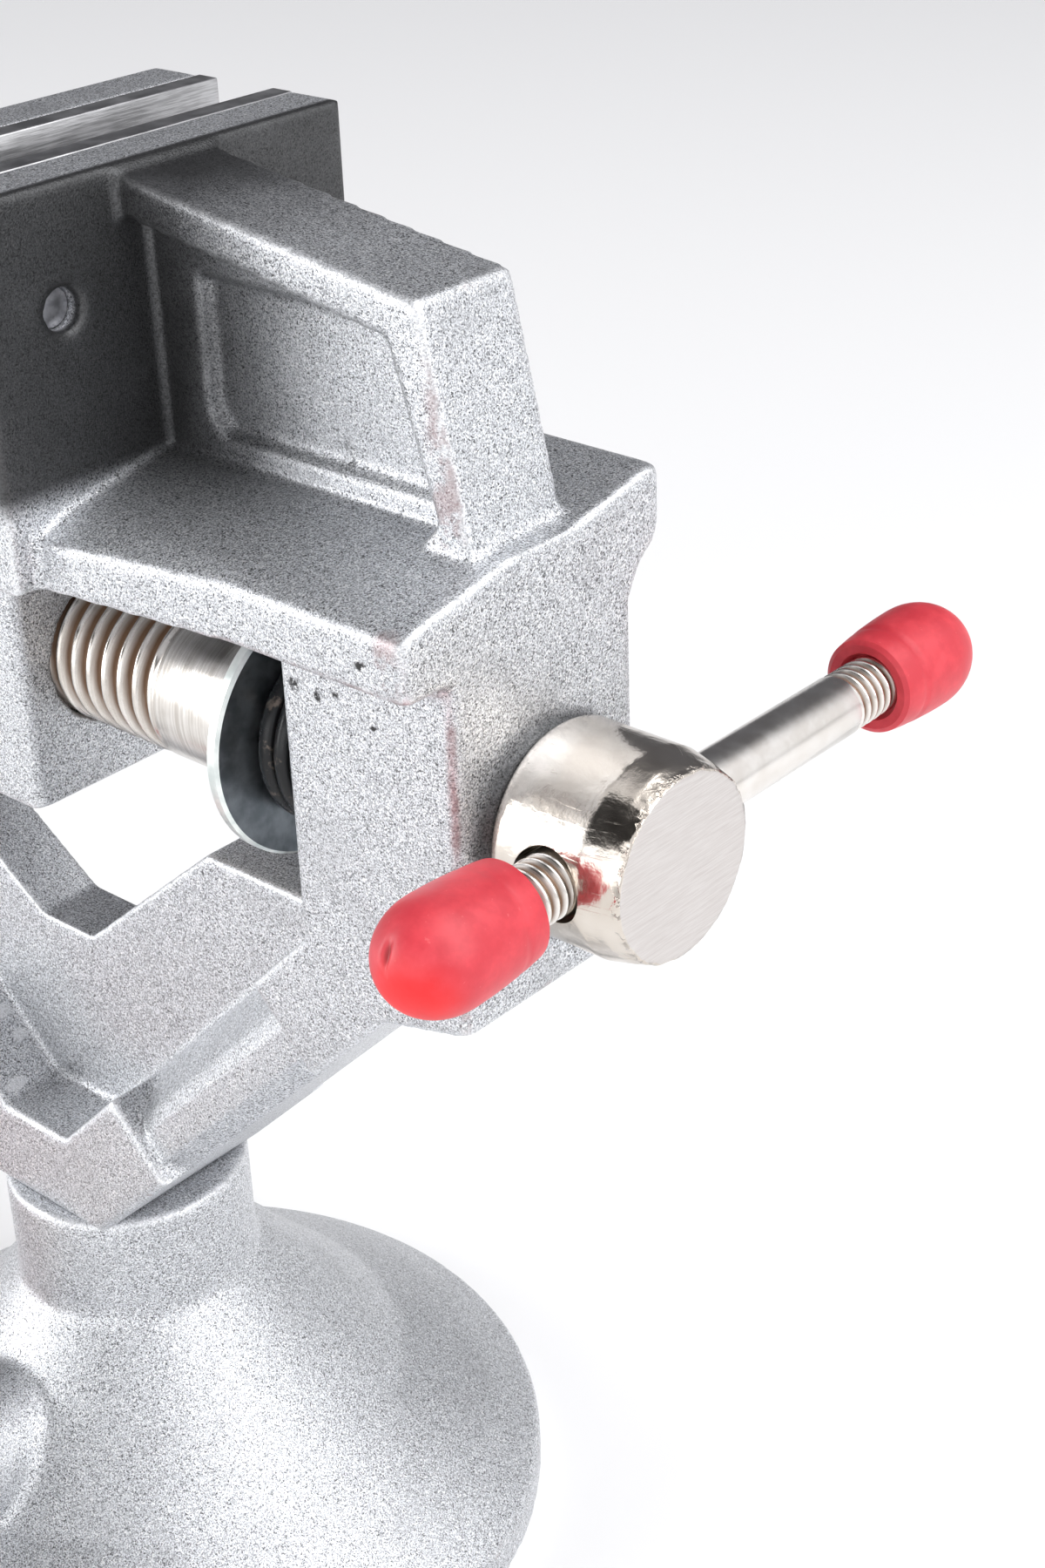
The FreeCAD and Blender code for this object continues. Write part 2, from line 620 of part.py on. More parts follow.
jaw.pad(jaw.polygons("XZ_Plane", [[
    ("%s + 1" % SLIDE_BRACE_FOOT, SLIDE_UNDER),
    ("%s - 1" % MOVING_FACE, SLIDE_UNDER),
    ("%s - 1" % MOVING_FACE, JAW_TOP),
    ("%s + 1" % SLIDE_BRACE_TOP, BRACE_SHOULDER),
    ("%s + 1" % SLIDE_BRACE_FOOT, SLIDE_TOP),
]]), "jaw_web_thick")
jaw.pad(jaw.polygons("XZ_Plane", [block(MOVING_FACE, NUT_BACK, NUT_TOP,
                                        "%s + slide_thick / 2" % SLIDE_UNDER)]),
        "slot_width - 2 * side_gap")
jaw.pocket(jaw.circles("XY_Plane", [(along, wide, "slide_screw_radius + seat_gap")
                                    for along, wide in SLIDE_SPOTS], SLIDE_TOP),
           "slide_thick + rail_thick + 3 * slide_gap", "One side")
jaw.pocket(jaw.circles("XY_Plane", [(along, wide, "slide_screw_head_radius + side_gap")
                                    for along, wide in SLIDE_SPOTS], SLIDE_TOP),
           "slide_screw_head_height", "One side")
jaw.pocket(jaw.circles("YZ_Plane", [(side, up, "plate_screw_radius + thread_gap")
                                    for side, up in PLATE_SPOTS], MOVING_FACE),
           "jaw_wall", "One side")

nut = Piece("nut_block")
nut.pad(nut.polygons("XZ_Plane", [block(NUT_FRONT, NUT_BACK, "screw_height - nut_drop", NUT_TOP)]),
        "block_width")
nut.soften("block_corner_radius", is_upright)
nut.pocket(nut.circles("YZ_Plane", [("0", "screw_height", "screw_radius + thread_gap")], NUT_FRONT),
           "nut_length", "One side")
nut.pocket(nut.circles("XY_Plane", [(along, wide, "slide_screw_radius + thread_gap")
                                    for along, wide in SLIDE_SPOTS], NUT_TOP),
           "slide_screw_bite", "One side")

slide_screws = doc.addObject("Part::Feature", "slide_screws")
slide_screws.Label = "slide_screws"
slide_screw_solids = []
for along, wide in SLIDE_SPOTS:
    under_head = value(SLIDE_TOP) - value("slide_screw_head_height")
    tip = value(NUT_TOP) - value("slide_screw_bite") + value("seat_gap")
    seat = V(value(along), value(wide), under_head)
    head = Part.makeCylinder(value("slide_screw_head_radius"), value("slide_screw_head_height"), seat)
    shank = Part.makeCylinder(value("slide_screw_radius"), under_head - tip, V(seat.x, seat.y, tip))
    hexagon = Part.makePolygon([seat + V(1.25 * math.cos(math.radians(60 * turn)),
                                         1.25 * math.sin(math.radians(60 * turn)), 1.4)
                                for turn in range(7)])
    socket = Part.Face(hexagon).extrude(V(0, 0, value("slide_screw_head_height")))
    slide_screw_solids.append(head.fuse(shank).cut(socket).removeSplitter())
slide_screws.Shape = Part.makeCompound(slide_screw_solids)

# ================================================================ lead screw and head
AXIS = ("0", "0", "screw_height")
spindle = Piece("lead_screw", AXIS)
SCREW_TAIL = "(screw_tail_inset - rear_reach)"
SHANK_BACK = "(%s - plain_shank_length)" % SHOULDER
spindle.turn([
    (SCREW_TAIL, "0"),
    (JOURNAL_END, "0"),
    (JOURNAL_END, "journal_radius"),
    (SHOULDER, "journal_radius"),
    (SHOULDER, "screw_radius"),
    (SHANK_BACK, "screw_radius"),
    ("%s + 1" % SCREW_TAIL, "screw_radius"),
    (SCREW_TAIL, "screw_radius - 1"),
])
spindle.pocket(spindle.circles("XZ_Plane", [(BAR_X, "0", "bar_hole_radius")]), "4 * head_radius")

head = Piece("handle_head", AXIS)
HEAD_FACE = "(%s + head_length)" % HEAD_BACK
head.turn([
    (HEAD_BACK, "journal_radius"),
    (JOURNAL_END, "journal_radius"),
    (JOURNAL_END, "0"),
    (HEAD_FACE, "0"),
    (HEAD_FACE, "head_radius - head_chamfer"),
    ("%s - head_chamfer / 3" % HEAD_FACE, "head_radius - head_chamfer * 2 / 3"),
    ("%s - head_taper" % HEAD_FACE, "head_radius"),
    ("%s + head_chamfer / 3" % HEAD_BACK, "head_radius"),
    (HEAD_BACK, "head_radius - head_chamfer / 3"),
])
head.pocket(head.circles("XZ_Plane", [(BAR_X, "0", "bar_hole_radius")]), "4 * head_radius")

WASHER_BACK = "(%s + running_gap)" % SHOULDER
WASHER_FRONT = "(%s + running_gap + washer_thick)" % SHOULDER
washer = Piece("thrust_washer", AXIS)
washer.turn(ring_profile(WASHER_BACK, WASHER_FRONT, "journal_radius + side_gap", "washer_radius"))

spring = doc.addObject("Part::Feature", "thrust_spring")
spring.Label = "thrust_spring"
wire_radius = value("spring_wire_radius")
coil_radius = value("journal_radius") + value("spring_clearance") + wire_radius
spring_start = value(WASHER_FRONT) + value("running_gap") + wire_radius
spring_end = value(BLOCK_BACK) - value("running_gap") - wire_radius
coil_pitch = (spring_end - spring_start) / value("spring_turns")
coil_line = Part.makeHelix(coil_pitch, spring_end - spring_start, coil_radius)
coil_section = Part.Wire([Part.makeCircle(wire_radius, V(coil_radius, 0, 0), V(0, 1, 0))])
coil = Part.Wire(coil_line.Edges).makePipeShell([coil_section], True, True)
spring.Shape = coil
spring.Placement = FreeCAD.Placement(V(spring_start, 0, value("screw_height")),
                                     FreeCAD.Rotation(V(0, 1, 0), 90))

# ================================================================ handle bar and caps
BAR_AT = (BAR_X, "bar_shift", "screw_height")
rod = Piece("handle_bar", BAR_AT)
BAR_SHOULDER = "(bar_plain_length / 2)"
BAR_END = "(bar_plain_length / 2 + bar_thread_length)"
rod.turn([
    ("0", minus(BAR_END)),
    ("bar_thread_radius - 0.4", minus(BAR_END)),
    ("bar_thread_radius", "0.4 - %s" % BAR_END),
    ("bar_thread_radius", minus(BAR_SHOULDER)),
    ("bar_radius", "0.2 - %s" % BAR_SHOULDER),
    ("bar_radius", "%s - 0.2" % BAR_SHOULDER),
    ("bar_thread_radius", BAR_SHOULDER),
    ("bar_thread_radius", "%s - 0.4" % BAR_END),
    ("bar_thread_radius - 0.4", BAR_END),
    ("0", BAR_END),
], "Y_Axis", "XY_Plane")

CAP_RIM = "(bar_plain_length / 2 + bar_thread_length - cap_bore_depth)"
for label, way in (("near_cap", "-1 * "), ("far_cap", "1 * ")):
    cap = Piece(label, BAR_AT)
    cap.turn([(radius, "%s (%s)" % (way, along)) for radius, along in (
        ("bar_thread_radius", CAP_RIM),
        ("cap_rim_radius", CAP_RIM),
        ("cap_radius", "%s + 0.25 * cap_length" % CAP_RIM),
        ("cap_radius", "%s + 0.60 * cap_length" % CAP_RIM),
        ("0.88 * cap_radius", "%s + 0.82 * cap_length" % CAP_RIM),
        ("0.55 * cap_radius", "%s + 0.96 * cap_length" % CAP_RIM),
        ("0.25 * cap_radius", "%s + cap_length" % CAP_RIM),
        ("0", "%s + cap_length" % CAP_RIM),
        ("0", "%s + cap_bore_depth + running_gap" % CAP_RIM),
        ("bar_thread_radius", "%s + cap_bore_depth + running_gap" % CAP_RIM),
    )], "Y_Axis", "XY_Plane")

# ================================================================ suction base
base = Piece("base_housing")
CAVITY_NECK = "(neck_radius - base_wall)"
base.turn([
    ("rim_radius - base_wall", "0"),
    ("rim_radius", "0"),
    ("rim_radius", "rim_height"),
    ("0.80 * rim_radius + 0.20 * neck_radius", "0.83 * rim_height + 0.17 * neck_start"),
    ("0.50 * rim_radius + 0.50 * neck_radius", "0.6 * rim_height + 0.4 * neck_start"),
    ("0.22 * rim_radius + 0.78 * neck_radius", "0.28 * rim_height + 0.72 * neck_start"),
    ("neck_radius", "neck_start"),
    ("neck_radius", "base_height"),
    ("0", "base_height"),
    ("0", BASE_CEILING),
    (CAVITY_NECK, BASE_CEILING),
    (CAVITY_NECK, "neck_start"),
    ("0.22 * rim_radius + 0.78 * neck_radius - 0.9 * base_wall",
     "0.28 * rim_height + 0.72 * neck_start - base_wall / 2"),
    ("0.50 * rim_radius + 0.50 * neck_radius - 0.7 * base_wall",
     "0.6 * rim_height + 0.4 * neck_start - 0.7 * base_wall"),
    ("rim_radius - 1.6 * base_wall", "rim_height + 0.3"),
    ("rim_radius - base_wall", "rim_height - 0.5 * base_wall"),
], "Z_Axis")
# bosses for the cam shaft, outside on the lever's side and inside on both
base.pad(base.circles("XZ_Plane", [("0", "shaft_height", "shaft_boss_radius")], "shaft_boss_reach"),
         "shaft_boss_reach + shaft_far_reach - 1.4", "One side", True)
base.pocket(base.circles("XZ_Plane", [("0", "shaft_height", "shaft_boss_radius + 0.5")],
                         "shaft_boss_inside"),
            "shaft_boss_inside + shaft_far_inside", "One side")
base.pocket(base.circles("XZ_Plane", [("0", "shaft_height", "shaft_radius + running_gap")],
                         "shaft_boss_reach + 1"),
            "shaft_boss_reach + 1 + shaft_far_reach + seat_gap", "One side")
base.pocket(base.circles("XY_Plane", [(along, wide, "foot_screw_radius + seat_gap")
                                      for along, wide in FOOT_SPOTS], "base_height"),
            "base_top_thick", "One side")

foot_screws = doc.addObject("Part::Feature", "foot_screws")
foot_screws.Label = "foot_screws"
foot_screw_solids = []
for along, wide in FOOT_SPOTS:
    ceiling = V(value(along), value(wide), value(BASE_CEILING))
    drop = V(0, 0, value("foot_screw_head_height"))
    head_solid = Part.makeCylinder(value("foot_screw_head_radius"), drop.z, ceiling - drop)
    shank = Part.makeCylinder(value("foot_screw_radius"),
                              value("base_top_thick + foot_screw_bite"), ceiling)
    hexagon = Part.makePolygon([ceiling - drop + V(1.7 * math.cos(math.radians(60 * turn)),
                                                   1.7 * math.sin(math.radians(60 * turn)), 0)
                                for turn in range(7)])
    socket = Part.Face(hexagon).extrude(drop * 0.5)
    foot_screw_solids.append(head_solid.fuse(shank).cut(socket).removeSplitter())
foot_screws.Shape = Part.makeCompound(foot_screw_solids)

cup = Piece("suction_cup")
cup.turn([
    ("0", "0"),
    ("cup_radius", "0"),
    ("cup_radius", "cup_lip"),
    ("0.5 * cup_radius", "cup_lip + cup_crown"),
    ("cup_hub_radius", "cup_lip + cup_crown"),
    ("cup_hub_radius", "cup_hub_height"),
    ("plunger_stem_radius", "cup_hub_height"),
    ("plunger_stem_radius", "plunger_foot_height + plunger_foot_thick"),
    ("plunger_foot_radius", "plunger_foot_height + plunger_foot_thick"),
    ("plunger_foot_radius", "plunger_foot_height"),
    ("0", "plunger_foot_height"),
], "Z_Axis")

plunger = Piece("cup_plunger")
YOKE_WINDOW_HALF = "(cam_radius + cam_throw + cam_gap)"
YOKE_LOW = "(%s - cam_radius - cam_gap)" % CAM_HEIGHT
YOKE_HIGH = "(%s + cam_radius + cam_gap)" % CAM_HEIGHT
plunger.turn([
    ("0", "plunger_foot_height"),
    ("plunger_foot_radius", "plunger_foot_height"),
    ("plunger_foot_radius", "plunger_foot_height + plunger_foot_thick"),
    ("plunger_stem_radius", "plunger_foot_height + plunger_foot_thick"),
    ("plunger_stem_radius", "%s - yoke_wall / 2" % YOKE_LOW),
    ("0", "%s - yoke_wall / 2" % YOKE_LOW),
], "Z_Axis")
plunger.pad(plunger.polygons("XZ_Plane", [
    block("%s + yoke_wall" % YOKE_WINDOW_HALF, "0 - %s - yoke_wall" % YOKE_WINDOW_HALF,
          "%s - yoke_wall" % YOKE_LOW, "%s + yoke_wall" % YOKE_HIGH),
    block(YOKE_WINDOW_HALF, "0 - %s" % YOKE_WINDOW_HALF, YOKE_LOW, YOKE_HIGH),
]), "yoke_thick")

# ================================================================ cam shaft and lever
SHAFT_AT = ("0", "0", "shaft_height")
shaft = Piece("cam_shaft", SHAFT_AT)
LEVER_NEAR = "(shaft_boss_reach + seat_gap)"
LEVER_FAR = "(shaft_boss_reach + seat_gap + lever_thick)"
CLIP_AT = "(seat_gap - shaft_boss_inside)"
shaft.turn([
    ("0", minus(LEVER_FAR)),
    ("shaft_radius", minus(LEVER_FAR)),
    ("shaft_radius", "shaft_far_reach"),
    ("0", "shaft_far_reach"),
], "Y_Axis", "XY_Plane")
shaft.pocket(shaft.circles("XY_Plane", [("0", "0 - (%s + %s) / 2" % (LEVER_NEAR, LEVER_FAR),
                                         "hub_pin_radius")]), "4 * lever_hub_radius")

cam = Piece("lift_cam", SHAFT_AT)
cam.pad(cam.circles("XZ_Plane", [("-cam_throw * cos(45)", "-cam_throw * sin(45)", "cam_radius")]),
        "cam_thick")
cam.pocket(cam.circles("XZ_Plane", [("0", "0", "shaft_radius")]), "cam_thick + 2")

clip = Piece("shaft_clip", SHAFT_AT)
clip.turn([
    ("shaft_radius", CLIP_AT),
    ("clip_radius", CLIP_AT),
    ("clip_radius", "%s + clip_thick" % CLIP_AT),
    ("shaft_radius", "%s + clip_thick" % CLIP_AT),
], "Y_Axis", "XY_Plane")

lever = Piece("lever_arm", SHAFT_AT)
LEVER_MID = "((%s + %s) / 2)" % (LEVER_NEAR, LEVER_FAR)
lever.pad(lever.circles("XZ_Plane", [("0", "0", "lever_hub_radius")], LEVER_MID), "lever_thick")
lever.pad(lever.polygons("XZ_Plane", [[
    ("-lever_length", "-lever_end_radius"),
    ("0", "-lever_hub_radius + 1"),
    ("0", "lever_hub_radius - 1"),
    ("-lever_length", "lever_end_radius"),
]], LEVER_MID), "lever_thick")
lever.soften("lever_end_radius * 0.9", lambda edge: is_line(edge)
             and middle(edge).x < value("0.5 - lever_length")
             and abs(edge.Vertexes[-1].Point.z - edge.Vertexes[0].Point.z) < 0.01)
lever.pocket(lever.circles("XZ_Plane", [("0", "0", "shaft_radius")], LEVER_MID), "lever_thick + 2")
lever.pocket(lever.circles("XY_Plane", [("0", minus(LEVER_MID), "hub_pin_radius")]),
             "4 * lever_hub_radius")

grip = Piece("lever_grip", SHAFT_AT)
GRIP_FRONT = "(grip_length - lever_length)"


def slanted(across):
    """Half height of the lever's bar at a place along it."""
    return "(lever_end_radius + (lever_hub_radius - 1 - lever_end_radius) * (1 + (%s) / lever_length))" % across


grip.pad(grip.polygons("XZ_Plane", [[
    ("-lever_length - grip_wall", "-lever_end_radius - grip_wall"),
    (GRIP_FRONT, "0 - %s - grip_wall" % slanted(GRIP_FRONT)),
    (GRIP_FRONT, "%s + grip_wall" % slanted(GRIP_FRONT)),
    ("-lever_length - grip_wall", "lever_end_radius + grip_wall"),
]], LEVER_MID), "lever_thick + 2 * grip_wall")
grip.soften("grip_wall * 0.9", lambda edge: is_line(edge)
            and middle(edge).x < value("0.5 - lever_length - grip_wall"))
grip.pocket(grip.polygons("XZ_Plane", [[
    ("-lever_length - running_gap", "-lever_end_radius - running_gap"),
    ("%s + 1" % GRIP_FRONT, "0 - %s - running_gap" % slanted(GRIP_FRONT + " + 1")),
    ("%s + 1" % GRIP_FRONT, "%s + running_gap" % slanted(GRIP_FRONT + " + 1")),
    ("-lever_length - running_gap", "lever_end_radius + running_gap"),
]], LEVER_MID), "lever_thick + 2 * running_gap")

hub_pin = Piece("hub_pin", SHAFT_AT)
hub_pin.pad(hub_pin.circles("XY_Plane", [("0", minus(LEVER_MID), "hub_pin_radius")]),
            "2 * lever_hub_radius - 0.6")

# ================================================================ check and write
doc.recompute()
os.makedirs("parts", exist_ok=True)
for thing in doc.Objects:
    for fault in ("Invalid", "Error"):
        assert fault not in thing.State, "%s is %s" % (thing.Label, thing.State)

pieces = [thing for thing in doc.Objects
          if thing.TypeId == "PartDesign::Body" or thing.TypeId == "Part::Feature"]
for piece in pieces:
    shape = piece.Shape
    assert not shape.isNull() and shape.isValid(), piece.Label + " has a bad shape"
    assert shape.Solids, piece.Label + " has no solid"
    shape.exportStep("parts/%s.step" % piece.Label)
    print("%-22s %2d solid(s) %10.1f mm3" % (piece.Label, len(shape.Solids), shape.Volume))
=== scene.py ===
import math

import bpy
from mathutils import Matrix, Vector, noise


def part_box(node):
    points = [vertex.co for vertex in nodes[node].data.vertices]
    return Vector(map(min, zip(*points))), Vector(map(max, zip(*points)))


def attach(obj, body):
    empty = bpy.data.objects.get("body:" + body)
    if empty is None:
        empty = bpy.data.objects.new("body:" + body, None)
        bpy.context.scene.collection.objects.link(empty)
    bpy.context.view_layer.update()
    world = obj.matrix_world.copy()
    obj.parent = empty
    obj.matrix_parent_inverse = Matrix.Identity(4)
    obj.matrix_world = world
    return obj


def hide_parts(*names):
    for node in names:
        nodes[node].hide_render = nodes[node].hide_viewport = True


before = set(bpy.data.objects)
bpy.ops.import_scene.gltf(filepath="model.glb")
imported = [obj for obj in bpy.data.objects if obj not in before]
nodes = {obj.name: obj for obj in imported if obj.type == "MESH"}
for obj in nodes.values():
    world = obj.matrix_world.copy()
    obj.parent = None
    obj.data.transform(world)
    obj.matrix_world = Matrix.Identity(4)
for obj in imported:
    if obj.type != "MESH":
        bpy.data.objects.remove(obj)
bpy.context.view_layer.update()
MM = 0.001

# Camera: a close view of the handle end, from above and to the left of the screw.
# Its place is measured from the centre of the front bearing face.
screw_low, screw_high = (Vector(corner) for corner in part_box("lead_screw"))
SCREW_Z = (screw_low.z + screw_high.z) / 2
FRONT_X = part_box("handle_head")[0][0] - 1.0 * MM
CAMERA_OFFSET = Vector((99.65, -112.59, 83.60)) * MM
CAMERA_AZIMUTH = 42.20
CAMERA_ELEVATION = 28.35
CAMERA_ROLL = -2.23
CAMERA_LENS = 58.32

camera_data = bpy.data.cameras.new("camera")
camera_data.sensor_fit = "VERTICAL"
camera_data.sensor_height = 36.0
camera_data.lens = CAMERA_LENS
camera_data.clip_start = 0.005
camera = bpy.data.objects.new("camera", camera_data)
bpy.context.scene.collection.objects.link(camera)
turn = (
    Matrix.Rotation(math.radians(CAMERA_AZIMUTH), 4, "Z")
    @ Matrix.Rotation(math.radians(90 - CAMERA_ELEVATION), 4, "X")
    @ Matrix.Rotation(math.radians(CAMERA_ROLL), 4, "Z")
)
camera.matrix_world = Matrix.Translation(Vector((FRONT_X, 0, SCREW_Z)) + CAMERA_OFFSET) @ turn
bpy.context.scene.camera = camera
bpy.context.scene.view_settings.view_transform = "Standard"


# Studio: a white floor, a room that is bright all round but for one dark corner behind the vise and
# an unlit gap in the ceiling, and four large soft lamps.
class Shade:
    """A socket of a finish. Sums written with it add Math nodes."""

    def __init__(self, socket):
        self.socket = socket

    def node(self, kind, settings, values, output=0):
        tree = self.socket.id_data
        made = tree.nodes.new(kind)
        for name, setting in settings.items():
            setattr(made, name, setting)
        for name, value in values.items():
            if isinstance(value, Shade):
                tree.links.new(value.socket, made.inputs[name])
            else:
                made.inputs[name].default_value = value
        return Shade(made.outputs[output])

    def maths(self, operation, first, second=0.0):
        return self.node("ShaderNodeMath", {"operation": operation}, {0: first, 1: second})

    def __add__(self, other):
        return self.maths("ADD", self, other)

    __radd__ = __add__

    def __mul__(self, other):
        return self.maths("MULTIPLY", self, other)

    __rmul__ = __mul__

    def __sub__(self, other):
        return self.maths("SUBTRACT", self, other)

    def __rsub__(self, other):
        return self.maths("SUBTRACT", other, self)

    def ramp(self, low, high):
        """0 up to low, 1 from high on, and a soft step between them."""
        return self.node("ShaderNodeMapRange", {"interpolation_type": "SMOOTHSTEP"},
                         {"Value": self, "From Min": low, "From Max": high})

    def blend(self, start, end):
        """A colour that goes from start to end as this value goes from 0 to 1."""
        return self.node("ShaderNodeMix", {"data_type": "RGBA"}, {0: self, 6: start, 7: end}, 2)

    def vector(self, operation, other, output=0):
        return self.node("ShaderNodeVectorMath", {"operation": operation}, {0: self, 1: other}, output)

    def mapped(self, turn, scale):
        """These coordinates turned, in degrees, and stretched."""
        angles = [math.radians(angle) for angle in turn]
        return self.node("ShaderNodeMapping", {}, {"Vector": self, "Rotation": angles, "Scale": scale})

    def grain(self, scale, detail=2.0, roughness=0.5):
        """Noise that reads these coordinates."""
        return self.node("ShaderNodeTexNoise", {},
                         {"Vector": self, "Scale": scale, "Detail": detail, "Roughness": roughness})


FLOOR_SIZE = 4.0
FLOOR_WHITE = (0.96, 0.96, 0.96, 1)
bpy.ops.object.select_all(action="DESELECT")
bpy.ops.mesh.primitive_plane_add(size=FLOOR_SIZE, location=(0, 0, 0))
floor = bpy.context.object
floor.name = "floor"
floor_paint = bpy.data.materials.new("floor_paint")
floor_paint.use_nodes = True
floor_shader = floor_paint.node_tree.nodes["Principled BSDF"]
floor_shader.inputs["Base Color"].default_value = FLOOR_WHITE
floor_shader.inputs["Roughness"].default_value = 0.95
floor.data.materials.append(floor_paint)

ROOM_LIGHT = (1.0, 1.0, 1.03, 1)
ROOM_HORIZON = (0.98, 0.98, 1.0, 1)
DARK_CORNER = (0.12, 0.12, 0.13, 1)
CEILING_GAP = (0.02, 0.02, 0.02, 1)
DARK_CORNER_WAY = Vector((-0.60, 0.64, 0.48))
CEILING_GAP_WAY = Vector((-0.08, -0.62, 0.76))
world = bpy.data.worlds.new("room")
world.use_nodes = True
room = world.node_tree.nodes["Background"]
outward = Shade(world.node_tree.nodes.new("ShaderNodeTexCoord").outputs["Generated"])
height = outward.node("ShaderNodeSeparateXYZ", {}, {0: outward}, "Z")
towards_corner = outward.vector("DOT_PRODUCT", DARK_CORNER_WAY, "Value")
walls = height.ramp(0.05, 0.55).blend(ROOM_HORIZON, ROOM_LIGHT)
walls = towards_corner.ramp(0.45, 0.88).blend(walls, DARK_CORNER)
towards_gap = outward.vector("DOT_PRODUCT", CEILING_GAP_WAY, "Value")
walls = towards_gap.ramp(0.86, 0.90).blend(walls, CEILING_GAP)
world.node_tree.links.new(walls.socket, room.inputs["Color"])
room.inputs["Strength"].default_value = 1.0
bpy.context.scene.world = world


def soft_lamp(name, place, aim, width, power):
    """A square soft box that faces a point on the vise."""
    lamp = bpy.data.lights.new(name, "AREA")
    lamp.size = width
    lamp.energy = power
    holder = bpy.data.objects.new(name, lamp)
    holder.location = place
    holder.rotation_euler = (Vector(aim) - Vector(place)).to_track_quat("-Z", "Y").to_euler()
    bpy.context.scene.collection.objects.link(holder)


soft_lamp("top_lamp", (0.36, 0.16, 0.75), (0, 0, 0.08), 0.6, 3.0)
soft_lamp("left_lamp", (-0.66, -0.66, 0.24), (0, 0, 0.07), 0.55, 4.6)
soft_lamp("front_lamp", (0.18, -0.80, 0.10), (0, 0, 0.06), 0.7, 1.6)
soft_lamp("right_lamp", (0.70, 0.10, 0.40), (0.03, 0, 0.09), 0.4, 1.5)


# Base housing: a cast cup with a bell-shaped skirt, a neck that carries the vise and a boss for
# the lever's shaft. Sand cast in aluminium alloy and tumbled, so every edge is soft.
def only(piece):
    """Make one object the whole selection."""
    bpy.ops.object.select_all(action="DESELECT")
    piece.select_set(True)
    bpy.context.view_layer.objects.active = piece


def finish_modifier(piece, kind, **settings):
    """Add a modifier with its settings and apply it at once."""
    only(piece)
    step = piece.modifiers.new(kind.lower(), kind)
    for name, setting in settings.items():
        setattr(step, name, setting)
    bpy.ops.object.modifier_apply(modifier=step.name)


def merged_copy(node, name):
    """The CAD solid as one closed mesh of its own."""
    piece = bpy.data.objects.new(name, nodes[node].data.copy())
    bpy.context.scene.collection.objects.link(piece)
    piece.data.materials.clear()
    only(piece)
    bpy.ops.object.mode_set(mode="EDIT")
    bpy.ops.mesh.select_all(action="SELECT")
    bpy.ops.mesh.remove_doubles(threshold=0.002 * MM)
    bpy.ops.object.mode_set(mode="OBJECT")
    return piece


def cast_copy(node, name, cell, passes, faces, worn=None, worn_passes=0):
    """The solid as it comes out of the mould: one skin with every corner softened."""
    piece = merged_copy(node, name)
    finish_modifier(piece, "REMESH", mode="VOXEL", voxel_size=cell)
    finish_modifier(piece, "SMOOTH", factor=0.5, iterations=passes)
    if worn:
        group = piece.vertex_groups.new(name="worn")
        group.add([vertex.index for vertex in piece.data.vertices if worn(vertex.co)], 1.0, "REPLACE")
        finish_modifier(piece, "SMOOTH", factor=0.5, iterations=worn_passes, vertex_group=group.name)
    share = faces / sum(len(face.vertices) - 2 for face in piece.data.polygons)
    if share < 1:
        finish_modifier(piece, "DECIMATE", ratio=share)
    only(piece)
    bpy.ops.object.shade_smooth()
    return piece


def fit_out(piece, body, replaced, paint):
    """Give a finished piece its body, the solids it stands for and its finish."""
    piece.data.materials.clear()
    piece.data.materials.append(paint)
    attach(piece, body)
    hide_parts(*replaced)


def new_finish(name, metallic, roughness, **constants):
    """A material, its shader and the piece's own coordinates."""
    paint = bpy.data.materials.new(name)
    paint.use_nodes = True
    shader = paint.node_tree.nodes["Principled BSDF"]
    shader.inputs["Metallic"].default_value = metallic
    shader.inputs["Roughness"].default_value = roughness
    for socket, value in constants.items():
        shader.inputs[socket.replace("_", " ")].default_value = value
    coordinates = paint.node_tree.nodes.new("ShaderNodeTexCoord")
    return paint, shader, Shade(coordinates.outputs["Object"])


def feed(shader, socket, value):
    shader.id_data.links.new(value.socket, shader.inputs[socket])


def bump(shader, height, depth, strength=1.0):
    """Let a height pattern, from 0 to 1, dent the surface by up to depth."""
    dent = height.node("ShaderNodeBump", {}, {"Height": height, "Distance": depth, "Strength": strength})
    feed(shader, "Normal", dent)


def grey(level, tint=0.0):
    return (level, level * (1 + 0.2 * tint), level * (1 + 0.6 * tint), 1)


CAST_DARK = grey(0.31, 0.14)
CAST_LIGHT = grey(0.86, 0.10)
GLITTER = grey(1.0, 0.02)
PIT = grey(0.05, 0.02)
HANDLED = grey(0.42, 0.10)
WORN_BRIGHT = grey(0.97, 0.05)
RUST = (0.36, 0.26, 0.26, 1)
ARRIS_STAIN_AND_SHADE = (0.33, 0.23, 0.23, 1)
SEAT_SHADOW_BLACK = grey(0.04)
CORNER_GRIME_AND_SHADE = grey(0.035, 0.02)
SCUFF_BLACK = grey(0.03)
GRIT_SCALE = 8200
GLITTER_SCALE = 9000
ARRIS_FADE = 1.0


